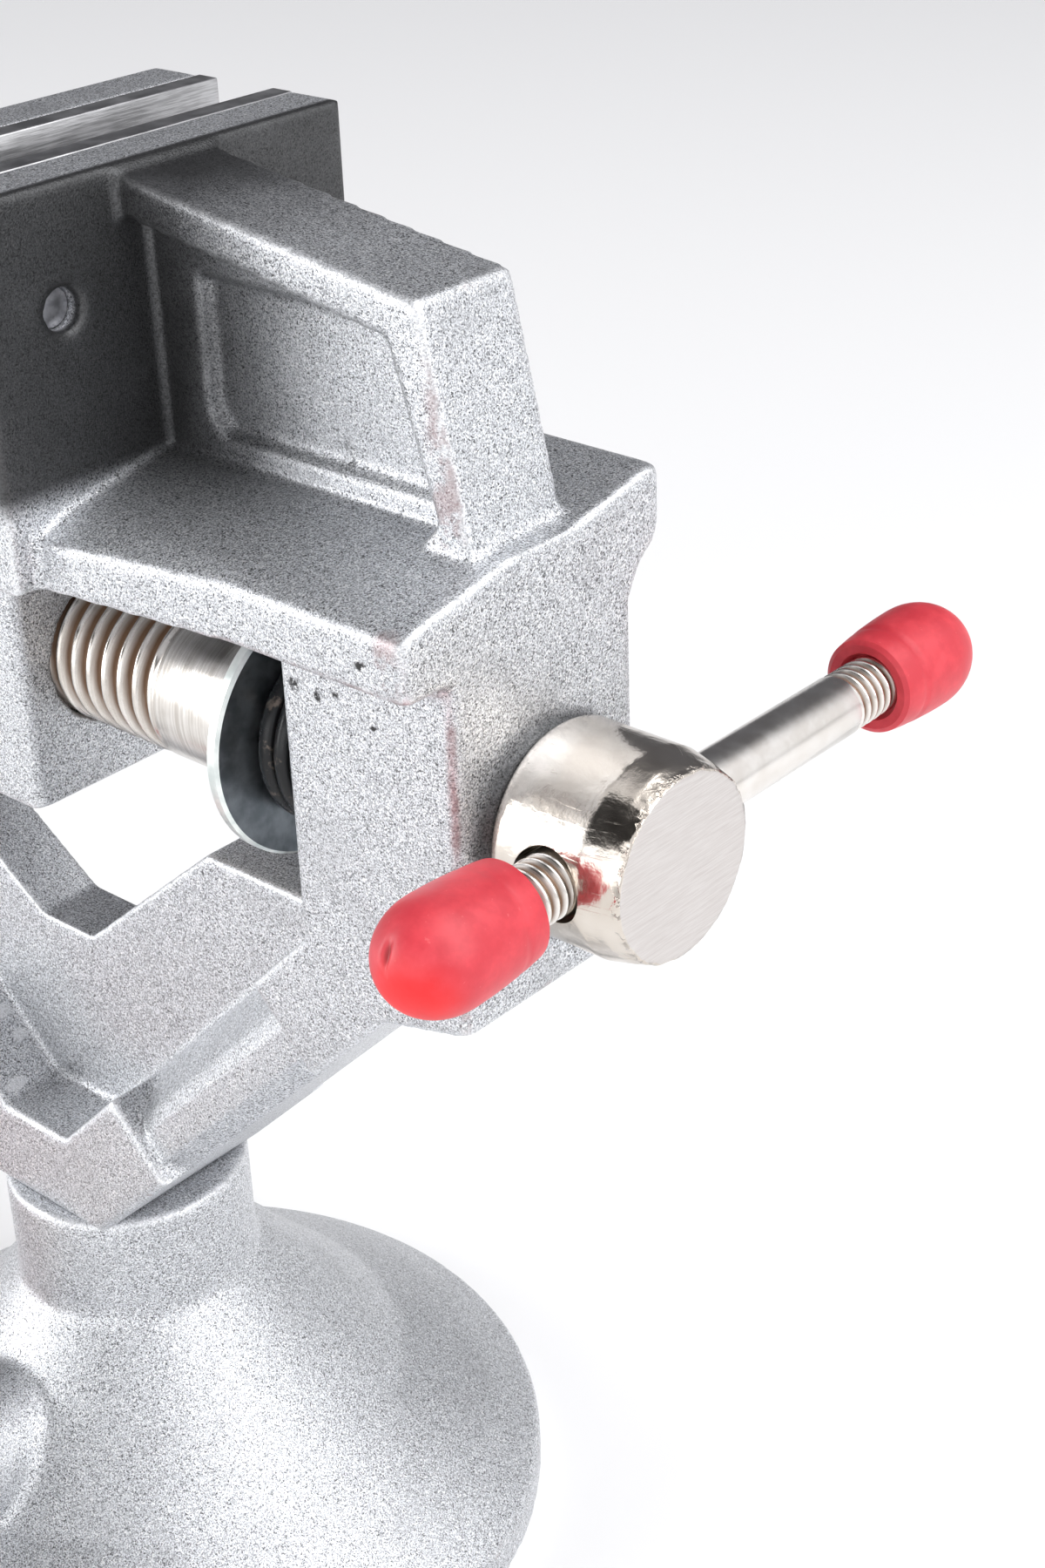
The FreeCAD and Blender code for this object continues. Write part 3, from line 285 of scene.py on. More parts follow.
def cast_finish(name, scuffs=(), arrises=(), grimed_and_shaded=(), bearings=()):
    """Tumbled cast metal: a glittering grain, handling marks, scuffs, arris lines that are partly stains
    and partly painted shade, painted contact shadows at bearings, and grime with painted shade.

    Scuffs are places with sizes. Arrises are a place on the line, the directions measured across
    it, its width and the heights between which it shows. Bearings get black rings painted as the contact
    shadow of the part seated there, and corner stretches, grime together with painted shade, fade from
    black at their low corner to clean at their high one. All in millimetres.
    """
    paint, shader, at = new_finish(name, 0.85, 0.4)
    grit = at.grain(GRIT_SCALE, 2.0, 0.6)
    cells = at.node("ShaderNodeTexVoronoi", {}, {"Vector": at, "Scale": GLITTER_SCALE}, "Color")
    spark = cells.node("ShaderNodeSeparateColor", {}, {0: cells}, "Red")
    clouds = at.grain(160, 3.0)
    tone = grit.ramp(0.36, 0.64).blend(CAST_DARK, CAST_LIGHT)
    tone = (spark.ramp(0.80, 0.95) * 0.85).blend(tone, GLITTER)
    tone = ((1 - spark.ramp(0.03, 0.16)) * 0.85).blend(tone, PIT)
    tone = (clouds.ramp(0.50, 0.78) * 0.30).blend(tone, HANDLED)
    worn = at.node("ShaderNodeNewGeometry", {}, {}, "Pointiness")
    tone = (worn.ramp(0.512, 0.56) * 0.55).blend(tone, WORN_BRIGHT)
    rust = at.grain(420, 4.0, 0.7)
    tone = (rust.ramp(0.62, 0.70) * worn.ramp(0.508, 0.54) * 0.45).blend(tone, RUST)
    upward = at.node("ShaderNodeSeparateXYZ", {}, {0: at}, "Z")
    # Arris lines: the lines on the left and brace edges are stains, and the ear's lines are painted shade.
    for place, across, size, low, high in arrises:
        away = at.vector("SUBTRACT", Vector(place) * MM).vector("MULTIPLY", across)
        line = 1 - away.vector("LENGTH", across, "Value").ramp(0.3 * size * MM, size * MM)
        line = line * upward.ramp((low - ARRIS_FADE) * MM, (low + ARRIS_FADE) * MM)
        line = line * (1 - upward.ramp((high - ARRIS_FADE) * MM, (high + ARRIS_FADE) * MM))
        tone = (line * rust.ramp(0.40, 0.58) * 0.6).blend(tone, ARRIS_STAIN_AND_SHADE)
    # Painted contact shadow: a black ring round each bearing, where the part seated on it shades the face.
    for place, radius in bearings:
        away = at.vector("SUBTRACT", Vector(place) * MM).vector("MULTIPLY", (4, 1, 1))
        seat_shadow = 1 - away.vector("LENGTH", (1, 1, 1), "Value").ramp((radius - 0.5) * MM, (radius + 0.7) * MM)
        tone = (seat_shadow * 0.85).blend(tone, SEAT_SHADOW_BLACK)
    # Grime together with painted shade: each stretch darkens towards its low corner.
    for low, high in grimed_and_shaded:
        hollow = at.vector("SUBTRACT", Vector(low) * MM).vector("DIVIDE", (Vector(high) - Vector(low)) * MM)
        above = hollow.node("ShaderNodeSeparateXYZ", {}, {0: hollow}, "Z").ramp(0.0, 1.0)
        hollow = hollow.node("ShaderNodeSeparateXYZ", {}, {0: hollow}, "X")
        before = hollow.ramp(-0.04, -0.01)
        hollow = hollow + (clouds - 0.5) * 0.5
        tone = ((1 - hollow.ramp(0.0, 1.0)) * before * above * 0.93).blend(tone, CORNER_GRIME_AND_SHADE)
    stain = at.grain(900, 4.0, 0.75).ramp(0.50, 0.60)
    marks = at.grain(300, 5.0, 0.75).ramp(0.735, 0.75) * 0.6
    for place, size in scuffs:
        near = at.vector("DISTANCE", Vector(place) * MM, "Value")
        marks = marks + (1 - near.ramp(0.35 * size * MM, size * MM)) * stain
    marks = marks.maths("MINIMUM", marks, 1.0)
    tone = marks.blend(tone, SCUFF_BLACK)
    feed(shader, "Base Color", tone)
    feed(shader, "Roughness", grit * 0.30 + 0.24 + marks * 0.3)
    feed(shader, "Metallic", 0.85 - marks * 0.6)
    bump(shader, grit + spark * 0.6 - marks * 1.5, 0.05 * MM, 0.9)
    return paint


plain_cast = cast_finish("plain_cast")
housing = cast_copy("base_housing", "housing_skin", 0.55 * MM, 5, 90000)
fit_out(housing, "frame", ["base_housing"], plain_cast)


# Suction cup and plunger: a moulded rubber disc that the bench air holds down, and the steel
# plunger that is bonded into its hub and ends in the yoke round the cam.
FLAT_WITHIN = math.radians(1)
ARRIS_ANGLE = math.radians(40)
SMOOTH_ANGLE = math.radians(35)


def edged_copy(node, name, width, rounds=2):
    """The solid as it is machined: flat faces with the arrises broken."""
    piece = merged_copy(node, name)
    only(piece)
    bpy.ops.object.mode_set(mode="EDIT")
    bpy.ops.mesh.select_all(action="SELECT")
    bpy.ops.mesh.dissolve_limited(angle_limit=FLAT_WITHIN)
    bpy.ops.object.mode_set(mode="OBJECT")
    finish_modifier(piece, "BEVEL", width=width, segments=rounds, limit_method="ANGLE",
                    angle_limit=ARRIS_ANGLE)
    only(piece)
    bpy.ops.object.shade_smooth_by_angle(angle=SMOOTH_ANGLE)
    return piece


def rubber_finish():
    """Matt moulded rubber with a fine bloom and shallow flow lines."""
    paint, shader, at = new_finish("cup_rubber", 0.0, 0.6)
    bloom = at.grain(900, 4.0, 0.6)
    flow = at.mapped((0, 0, 20), (40, 600, 600)).grain(1.0, 3.0)
    feed(shader, "Base Color", (bloom.ramp(0.4, 0.7) * 0.5).blend(grey(0.018), grey(0.05)))
    feed(shader, "Roughness", bloom * 0.25 + 0.5)
    bump(shader, bloom + flow, 0.03 * MM)
    return paint


STEEL_SHADE = 0.55


def steel_finish(name, tone, lines, rough=0.28):
    """Machined steel: tool lines that follow the given stretch, and a thin film of oil."""
    paint, shader, at = new_finish(name, 1.0, rough)
    cut = at.mapped((0, 0, 0), lines).grain(1.0, 3.0, 0.6)
    film = at.grain(240, 3.0)
    dark = tuple(STEEL_SHADE * part for part in tone[:3]) + (1,)
    lit = cut.ramp(0.35, 0.65) * 0.7 + film.ramp(0.4, 0.7) * 0.3
    feed(shader, "Base Color", lit.blend(dark, tone))
    feed(shader, "Roughness", cut * 0.2 + film * 0.15 + (rough - 0.15))
    bump(shader, cut, 0.012 * MM)
    return paint


nodes["suction_cup"].data.materials.clear()
nodes["suction_cup"].data.materials.append(rubber_finish())
turned_steel = steel_finish("turned_steel", (0.60, 0.57, 0.53, 1), (900, 6000, 900))
plunger = edged_copy("cup_plunger", "plunger_yoke", 0.25 * MM)
fit_out(plunger, "plunger", ["cup_plunger"], turned_steel)


# Cam shaft with its lift cam and clip: bright turned steel, the cam a press fit on the shaft and
# the clip a black spring ring that keeps the shaft in its boss.
def black_finish():
    """Black oxide on spring steel, rubbed to brown where the wire touches."""
    paint, shader, at = new_finish("black_oxide", 0.7, 0.32)
    rubbed = at.grain(700, 4.0, 0.65)
    feed(shader, "Base Color", rubbed.ramp(0.56, 0.70).blend(grey(0.025, 0.1), (0.16, 0.13, 0.11, 1)))
    feed(shader, "Roughness", rubbed * 0.35 + 0.14)
    bump(shader, rubbed, 0.02 * MM)
    return paint


black_oxide = black_finish()
shaft_piece = edged_copy("cam_shaft", "cam_shaft_turned", 0.35 * MM)
fit_out(shaft_piece, "lever", ["cam_shaft"], turned_steel)
cam_piece = edged_copy("lift_cam", "lift_cam_turned", 0.25 * MM)
fit_out(cam_piece, "lever", ["lift_cam"], turned_steel)
clip_piece = edged_copy("shaft_clip", "shaft_clip_ring", 0.2 * MM)
fit_out(clip_piece, "lever", ["shaft_clip"], black_oxide)


# Vise frame: one casting that holds the front and rear bearings, the rails, both struts and the
# fixed jaw. Its corners are filleted by the mould and its worn edges shine.
RAIL_RISE = 19.8 * MM
RAIL_TOP = SCREW_Z + RAIL_RISE
SCUFFS = [
    ((36.4, -2.1, 112.8), 1.6),
    ((39.1, -2.1, 112.4), 0.7),
    ((44.3, -3.0, 111.8), 1.1),
    ((37.9, -9.3, 99.5), 1.1),
    ((39.9, -9.3, 99.0), 0.6),
    ((41.6, -9.3, 99.7), 0.5),
    ((45.0, -9.3, 98.2), 0.4),
    ((48.2, -13.2, 105.2), 0.7),
    ((44.6, -13.4, 105.2), 0.7),
    ((18.9, -3.0, 75.1), 1.1),
]
LEFT_ARRIS = ((51.7, -9.0, 0), Vector((1, 1, 0)), 0.55, 77, 101)
BRACE_ARRIS = ((48.2, -4.6, 0), Vector((0.3, 1, 0)), 0.6, 110, 131)
# The three ear lines are painted shade: dark lines along the ear's front edge, inner crease and underside.
EAR_EDGE_SHADE = ((50.4, -13.3, 0), Vector((1, 1, 0)), 1.4, 103, 109)
EAR_CREASE_SHADE = ((0, -9.7, 102.7), Vector((0, 1, 1)), 0.8, 100, 105)
EAR_UNDER_SHADE = ((0, -13.1, 103.3), Vector((0, 1, 1)), 0.45, 100, 105)
# Grime and painted shade in the corner by the fixed jaw.
JAW_CORNER_GRIME_AND_SHADE = ((18.6, 0, 108), (38.0, 1, 110.5))
# A black ring painted as the contact shadow round the handle head's seat.
HEAD_SEAT_SHADOW = ((52.3, 0, 90), 7.5)


def is_shelf_rim(spot):
    """The outer rim of the shelf in front of the fixed jaw."""
    beside = abs(spot.y) > 10.5 * MM and spot.x > 21 * MM
    before = spot.x > FRONT_X - 2.0 * MM
    return (beside or before) and RAIL_TOP - 3.4 * MM < spot.z < RAIL_TOP + 3 * MM


frame_cast = cast_copy("vise_frame", "frame_skin", 0.36 * MM, 3, 196000, is_shelf_rim, 7)
STAINED_AND_SHADED = [LEFT_ARRIS, BRACE_ARRIS, EAR_EDGE_SHADE, EAR_CREASE_SHADE, EAR_UNDER_SHADE]
frame_paint = cast_finish("frame_cast", SCUFFS, STAINED_AND_SHADED, [JAW_CORNER_GRIME_AND_SHADE], [HEAD_SEAT_SHADOW])
fit_out(frame_cast, "frame", ["vise_frame"], frame_paint)


# Foot screws: two socket screws up through the housing's ceiling into the foot of the frame.
fastener = steel_finish("fastener_steel", (0.45, 0.45, 0.47, 1), (1500, 1500, 1500))
foot_piece = edged_copy("foot_screws", "foot_screw_pair", 0.25 * MM)
fit_out(foot_piece, "frame", ["foot_screws"], fastener)


# Jaw plates and their screws: ground steel strips, each held by two screws whose heads stop
# below the working face.
ground = steel_finish("ground_steel", (0.62, 0.62, 0.63, 1), (400, 400, 9000), 0.34)
for node, body in (("fixed_jaw_plate", "frame"), ("moving_jaw_plate", "jaw")):
    plate = edged_copy(node, node + "_ground", 0.3 * MM)
    fit_out(plate, body, [node], ground)
for node, body in (("fixed_plate_screws", "frame"), ("moving_plate_screws", "jaw")):
    screws = edged_copy(node, node + "_turned", 0.15 * MM)
    fit_out(screws, body, [node], fastener)


# Lead screw: a turned bar with a rolled trapezium thread as far as its plain shank, a shoulder
# for the washer and a journal that runs through the block into the handle's head.
AXES = {"X": Vector((1, 0, 0)), "Y": Vector((0, 1, 0))}
LIE = {"X": (0, math.pi / 2, 0), "Y": (math.pi / 2, 0, 0)}


def turned(name, centre, axis, outline, sides=96, ring=False):
    """Turned work, drawn out ring by ring through its outline of (place along the axis, radius)."""
    way = AXES[axis]
    first_place, first_radius = outline[0]
    bpy.ops.object.select_all(action="DESELECT")
    bpy.ops.mesh.primitive_circle_add(vertices=sides, radius=first_radius, rotation=LIE[axis],
                                      location=centre + way * first_place,
                                      fill_type="NOTHING" if ring else "NGON")
    piece = bpy.context.object
    piece.name = name
    bpy.ops.object.transform_apply(location=True, rotation=True, scale=True)
    bpy.ops.object.mode_set(mode="EDIT")
    bpy.ops.mesh.select_all(action="SELECT")
    for (place, radius), (next_place, next_radius) in zip(outline, outline[1:]):
        bpy.ops.mesh.extrude_region_move(
            TRANSFORM_OT_translate={"value": way * (next_place - place)})
        bpy.ops.transform.resize(value=[next_radius / radius] * 3,
                                 center_override=centre + way * next_place)
    bpy.ops.mesh.select_all(action="SELECT")
    bpy.ops.mesh.remove_doubles(threshold=0.0005 * MM)
    bpy.ops.mesh.normals_make_consistent(inside=False)
    bpy.ops.object.mode_set(mode="OBJECT")
    only(piece)
    bpy.ops.object.shade_smooth_by_angle(angle=SMOOTH_ANGLE)
    return piece


def steps(start, end, stride):
    """Evenly spaced places from start to end, no further apart than the stride."""
    count = max(1, math.ceil(abs(end - start) / stride))
    return [start + (end - start) * number / count for number in range(count + 1)]


FLANK_SLOPE = 2.9
CREST_FLAT = 0.22


def cut_thread(piece, centre, axis, start, end, pitch, depth, run_out):
    """Press the helical groove of a thread into a turned piece."""
    way = AXES[axis]
    side = Vector((0, 0, 1))
    other = way.cross(side)
    for vertex in piece.data.vertices:
        offset = vertex.co - centre
        place = offset.dot(way)
        if not start < place < end:
            continue
        outward = offset - way * place
        angle = math.atan2(outward.dot(other), outward.dot(side))
        phase = (place / pitch - angle / math.tau) % 1
        groove = min(1, max(0, FLANK_SLOPE * (0.5 - abs(phase - 0.5)) - CREST_FLAT))
        fade = min(1, (place - start) / run_out, (end - place) / run_out)
        vertex.co -= outward.normalized() * depth * groove * fade


PLATE_BRIGHT = (0.88, 0.85, 0.81, 1)
GROOVE_OIL_AND_SHADE = (0.19, 0.11, 0.065, 1)
GROOVE_DARK_EDGE = 0.1 * MM


def thread_finish(name, centre, axis, root, crest, rings, dull):
    """Plated steel with brown oil and dust, darkened further as painted shade, in the thread's grooves, and
    tool rings if any.
    """
    paint, shader, at = new_finish(name, 1.0, 0.25)
    across = Vector((1, 1, 1)) - AXES[axis]
    outward = at.vector("SUBTRACT", centre).vector("MULTIPLY", across)
    radius = outward.vector("LENGTH", across, "Value")
    depth = (1 - radius.ramp(root, crest)) * radius.ramp(root - 4 * GROOVE_DARK_EDGE, root - GROOVE_DARK_EDGE)
    film = at.grain(500, 4.0, 0.6)
    lathe = at.mapped((0, 0, 0), AXES[axis] * 5000 + across * 60).grain(1.0, 3.0, 0.6)
    lines = lathe * rings + film * (1 - rings)
    plate = lines.ramp(0.35, 0.65).blend(dull, PLATE_BRIGHT)
    # Oil in the grooves, together with painted shade, deepest at the root.
    groove_oil_and_shade = depth * (film * 0.6 + 0.95)
    groove_oil_and_shade = groove_oil_and_shade.maths("MINIMUM", groove_oil_and_shade, 1.0)
    feed(shader, "Base Color", groove_oil_and_shade.blend(plate, GROOVE_OIL_AND_SHADE))
    feed(shader, "Roughness", lines * 0.10 + film * 0.14 + groove_oil_and_shade * 0.25 + 0.11)
    feed(shader, "Metallic", 1 - groove_oil_and_shade * 0.5)
    bump(shader, lines, 0.01 * MM)
    return paint


SCREW_AXIS = Vector((0, 0, SCREW_Z))
SCREW_RADIUS = (screw_high.z - screw_low.z) / 2
SCREW_PITCH = 1.75 * MM
SCREW_DEPTH = 0.95 * MM
JOURNAL_RADIUS = 4.5 * MM
PLAIN_SHANK = 9.8 * MM
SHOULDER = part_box("thrust_washer")[0][0] - 0.05 * MM
THREAD_END = SHOULDER - PLAIN_SHANK
SHOULDER_BREAK = 0.2 * MM
TAIL_BREAK = 0.3 * MM
THREAD_LEAD_IN = 0.8 * MM
RINGS_PER_TURN = 9
thread_places = steps(screw_low.x + THREAD_LEAD_IN, THREAD_END, SCREW_PITCH / RINGS_PER_TURN)
screw_outline = [(screw_low.x, SCREW_RADIUS - SCREW_DEPTH)]
screw_outline += [(place, SCREW_RADIUS) for place in thread_places]
screw_outline += [
    (SHOULDER - SHOULDER_BREAK, SCREW_RADIUS),
    (SHOULDER, SCREW_RADIUS - SHOULDER_BREAK),
    (SHOULDER, JOURNAL_RADIUS),
    (screw_high.x - TAIL_BREAK, JOURNAL_RADIUS),
    (screw_high.x, JOURNAL_RADIUS - TAIL_BREAK),
]
lead_screw = turned("lead_screw_turned", SCREW_AXIS, "X", screw_outline, 72)
cut_thread(lead_screw, SCREW_AXIS, "X", screw_low.x, THREAD_END, SCREW_PITCH, SCREW_DEPTH, SCREW_PITCH)
SCREW_DULL = (0.60, 0.56, 0.51, 1)
SCREW_RINGS = 0.7
screw_paint = thread_finish("screw_plate", SCREW_AXIS, "X", SCREW_RADIUS - SCREW_DEPTH, SCREW_RADIUS,
                            SCREW_RINGS, SCREW_DULL)
fit_out(lead_screw, "screw", ["lead_screw"], screw_paint)


# Thrust washer: stamped from zinc-plated sheet, its rim bright and its face dull with grease.
ZINC_RIM = (0.66, 0.72, 0.70, 1), (0.92, 0.95, 0.92, 1)
ZINC_FACE = (0.34, 0.38, 0.41, 1), (0.58, 0.63, 0.66, 1)


def washer_finish():
    """Zinc plate: clouded and grey on the two faces, clean and bright on the rim."""
    paint, shader, at = new_finish("zinc_plate", 1.0, 0.35)
    facing = at.node("ShaderNodeNewGeometry", {}, {}, "Normal").vector("DOT_PRODUCT", (1, 0, 0), "Value")
    flat = facing.maths("ABSOLUTE", facing).ramp(0.75, 0.95)
    cloud = at.grain(420, 4.0, 0.6)
    rim = cloud.ramp(0.35, 0.70).blend(*ZINC_RIM)
    face = cloud.ramp(0.35, 0.70).blend(*ZINC_FACE)
    feed(shader, "Base Color", flat.blend(rim, face))
    feed(shader, "Roughness", cloud * 0.25 + 0.20)
    bump(shader, at.grain(2500, 3.0), 0.01 * MM)
    return paint


WASHER_BORE = 4.55 * MM
WASHER_BREAK = 0.25 * MM
washer_low, washer_high = (Vector(corner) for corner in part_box("thrust_washer"))
WASHER_RADIUS = (washer_high.z - washer_low.z) / 2
washer = turned("thrust_washer_stamped", SCREW_AXIS, "X", [
    (washer_low.x, WASHER_BORE),
    (washer_low.x, WASHER_RADIUS - WASHER_BREAK),
    (washer_low.x + WASHER_BREAK, WASHER_RADIUS),
    (washer_high.x - WASHER_BREAK, WASHER_RADIUS),
    (washer_high.x, WASHER_RADIUS - WASHER_BREAK),
    (washer_high.x, WASHER_BORE),
    (washer_low.x, WASHER_BORE),
], 128, ring=True)
fit_out(washer, "screw", ["thrust_washer"], washer_finish())


# Thrust spring: black spring wire close wound on the journal between the washer and the block.
SPRING_TURNS = 3
STEPS_PER_TURN = 60
WIRE = 0.75 * MM
WIRE_SIDES = 14
spring_low, spring_high = (Vector(corner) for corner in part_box("thrust_spring"))
SPRING_RADIUS = 6.8 * MM
bpy.ops.object.select_all(action="DESELECT")
bpy.ops.mesh.primitive_circle_add(vertices=WIRE_SIDES, radius=WIRE, rotation=(math.pi / 2, 0, 0),
                                  location=(spring_low.x + WIRE, 0, SCREW_Z + SPRING_RADIUS - WIRE))
spring = bpy.context.object
spring.name = "thrust_spring_wound"
bpy.ops.object.transform_apply(location=True, rotation=True, scale=True)
for vertex in spring.data.vertices:
    vertex.co.z -= SCREW_Z
finish_modifier(spring, "SCREW", axis="X", angle=math.tau * SPRING_TURNS,
                steps=STEPS_PER_TURN * SPRING_TURNS, render_steps=STEPS_PER_TURN * SPRING_TURNS,
                screw_offset=spring_high.x - spring_low.x - 2 * WIRE, use_merge_vertices=False)
for vertex in spring.data.vertices:
    vertex.co.z += SCREW_Z
bpy.ops.object.mode_set(mode="EDIT")
bpy.ops.mesh.select_all(action="SELECT")
bpy.ops.mesh.fill_holes(sides=0)
bpy.ops.mesh.select_all(action="SELECT")
bpy.ops.mesh.normals_make_consistent(inside=False)
bpy.ops.object.mode_set(mode="OBJECT")
only(spring)
bpy.ops.object.shade_smooth_by_angle(angle=math.radians(50))
fit_out(spring, "frame", ["thrust_spring"], black_oxide)


# Handle head: a nickel-plated knob pressed on the screw's tail. Its rim is linished by hand, so
# it wavers, and its end face is brushed; the cross hole for the bar has a broken edge.
NICKEL = (0.64, 0.58, 0.51, 1), (0.80, 0.75, 0.69, 1)
BRUSHED_NICKEL_AND_SHADE = (0.61, 0.57, 0.55, 1), (0.71, 0.68, 0.66, 1)
CHIP = (0.10, 0.08, 0.07, 1)


def nickel_finish(centre, rim):
    """Nickel plate: warm, with orange peel, brushed on its end face, which is also darkened as painted
    shade, and chipped round its rim.
    """
    paint, shader, at = new_finish("nickel_plate", 1.0, 0.16)
    facing = at.node("ShaderNodeNewGeometry", {}, {}, "Normal").vector("DOT_PRODUCT", (1, 0, 0), "Value")
    end_face = facing.ramp(0.90, 0.98)
    peel = at.grain(900, 3.0, 0.55)
    cloud = at.grain(170, 3.0)
    brushed = at.mapped((62, 0, 0), (300, 350, 9000)).grain(1.0, 4.0, 0.65)
    scratch = at.mapped((-50, 10, 0), (200, 160, 6000)).grain(1.0, 3.0, 0.6).ramp(0.60, 0.72)
    tone = cloud.ramp(0.35, 0.70).blend(*NICKEL)
    # The end face is brushed, and its colour is set darker as painted shade.
    tone = end_face.blend(tone, brushed.ramp(0.3, 0.7).blend(*BRUSHED_NICKEL_AND_SHADE))
    outward = at.vector("SUBTRACT", centre).vector("MULTIPLY", (0, 1, 1))
    radius = outward.vector("LENGTH", (1, 1, 1), "Value")
    beside = (radius - rim).maths("ABSOLUTE", radius - rim)
    near = at.vector("DISTANCE", centre, "Value").ramp(rim + 1.6 * MM, rim + 1.9 * MM)
    chips = (1 - beside.ramp(0.10 * MM, 0.45 * MM)) * at.grain(1300, 3.0, 0.7).ramp(0.50, 0.57) * near
    tone = (chips * 0.8).blend(tone, CHIP)
    feed(shader, "Base Color", tone)
    feed(shader, "Roughness", 0.13 + peel * 0.12 + end_face * 0.20 + scratch * 0.10)
    dent = peel * (1 - end_face) * 0.9 + brushed * end_face * 0.25 + scratch * 0.08
    bump(shader, dent - chips * 1.5, 0.06 * MM)
    return paint


head_low, head_high = (Vector(corner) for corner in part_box("handle_head"))
bar_low, bar_high = (Vector(corner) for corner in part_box("handle_bar"))
HEAD_RADIUS = (head_high.z - head_low.z) / 2
HEAD_TAPER = 3.0 * MM
HEAD_RIM = 0.3 * MM
RIM_RADIUS = HEAD_RADIUS - 0.62 * MM
BAR_HOLE = 2.75 * MM
BAR_X = (bar_low.x + bar_high.x) / 2
HEAD_BACK_BREAK = 0.5 * MM
HEAD_STEP = 0.35 * MM
TAPER_STEP = 0.18 * MM
taper_start = head_high.x - HEAD_TAPER
head_outline = [
    (head_low.x, HEAD_RADIUS - HEAD_BACK_BREAK),
    (head_low.x + 0.15 * MM, HEAD_RADIUS - 0.18 * MM),
]
head_outline += [(place, HEAD_RADIUS)
                 for place in steps(head_low.x + HEAD_BACK_BREAK, taper_start, HEAD_STEP)]
for place in steps(taper_start, head_high.x - HEAD_RIM, TAPER_STEP)[1:]:
    share = (place - taper_start) / (HEAD_TAPER - HEAD_RIM)
    head_outline.append((place, HEAD_RADIUS + (RIM_RADIUS - HEAD_RADIUS) * share))
for angle in (20, 40, 60, 78):
    lean = math.radians(angle)
    head_outline.append((head_high.x - HEAD_RIM + 0.95 * HEAD_RIM * math.sin(lean),
                         RIM_RADIUS - HEAD_RIM + HEAD_RIM * math.cos(lean)))
head_outline += [(head_high.x - 0.01 * MM, RIM_RADIUS - 0.5 * MM), (head_high.x, RIM_RADIUS - 1.2 * MM)]
head = turned("handle_head_turned", SCREW_AXIS, "X", head_outline, 144)
RIM_PLACE = head_high.x - 0.2 * MM
RIM_REACH = 1.1 * MM
RIM_SINK = 0.10 * MM
RIM_WAVER = 0.34 * MM
for vertex in head.data.vertices:
    outward = Vector((0, vertex.co.y, vertex.co.z - SCREW_Z))
    rim = max(0, 1 - abs(vertex.co.x - RIM_PLACE) / RIM_REACH)
    waver = noise.noise(vertex.co * 420) * 0.4 + noise.noise(vertex.co * 1900) * 0.3
    vertex.co -= outward.normalized() * rim * (RIM_SINK + RIM_WAVER * waver)
bpy.ops.object.select_all(action="DESELECT")
bpy.ops.mesh.primitive_cylinder_add(vertices=72, radius=BAR_HOLE, depth=4 * HEAD_RADIUS,
                                    location=(BAR_X, 0, SCREW_Z), rotation=(math.pi / 2, 0, 0))
drill = bpy.context.object
finish_modifier(head, "BOOLEAN", operation="DIFFERENCE", object=drill, solver="EXACT")
bpy.data.objects.remove(drill, do_unlink=True)
finish_modifier(head, "BEVEL", width=0.22 * MM, segments=3, limit_method="ANGLE",
                angle_limit=math.radians(50))
only(head)
bpy.ops.object.shade_smooth_by_angle(angle=math.radians(45))
nickel = nickel_finish(Vector((BAR_X, 0, SCREW_Z)), RIM_RADIUS)
fit_out(head, "screw", ["handle_head"], nickel)


# Handle bar: a nickel-plated rod, threaded at both ends for the caps.
BAR_CENTRE = Vector((BAR_X, (bar_low.y + bar_high.y) / 2, SCREW_Z))
BAR_HALF = (bar_high.y - bar_low.y) / 2
BAR_RADIUS = (bar_high.z - bar_low.z) / 2
BAR_PLAIN_HALF = 16 * MM
BAR_THREAD_RADIUS = BAR_RADIUS - 0.05 * MM
BAR_PITCH = 0.85 * MM
BAR_DEPTH = 0.30 * MM
bar_outline = [(-BAR_HALF, BAR_THREAD_RADIUS - BAR_DEPTH)]
bar_outline += [(place, BAR_THREAD_RADIUS)
                for place in steps(0.4 * MM - BAR_HALF, -BAR_PLAIN_HALF - 0.1 * MM, BAR_PITCH / 9)]
bar_outline += [(-BAR_PLAIN_HALF + 0.1 * MM, BAR_RADIUS), (BAR_PLAIN_HALF - 0.1 * MM, BAR_RADIUS)]
bar_outline += [(-place, radius) for place, radius in reversed(bar_outline[:-2])]
bar = turned("handle_bar_turned", BAR_CENTRE, "Y", bar_outline, 64)
for low, high in ((-BAR_HALF, -BAR_PLAIN_HALF), (BAR_PLAIN_HALF, BAR_HALF)):
    cut_thread(bar, BAR_CENTRE, "Y", low, high, BAR_PITCH, BAR_DEPTH, 0.6 * BAR_PITCH)
bar_paint = thread_finish("bar_plate", BAR_CENTRE, "Y", BAR_THREAD_RADIUS - 1.3 * BAR_DEPTH,
                          BAR_THREAD_RADIUS - 0.02 * MM, 0.0, (0.80, 0.76, 0.71, 1))
fit_out(bar, "handle", ["handle_bar"], bar_paint)


# End caps: soft red vinyl, dip moulded, pushed over the bar's threads. Each has a thin witness
# line near its mouth and a small nick in its tip.
VINYL = (0.55, 0.034, 0.050, 1), (0.68, 0.056, 0.074, 1)
VINYL_SPECK = (0.80, 0.22, 0.22, 1)
VINYL_TIP = (0.80, 0.012, 0.014, 1)
VINYL_NICK = (0.30, 0.004, 0.008, 1)


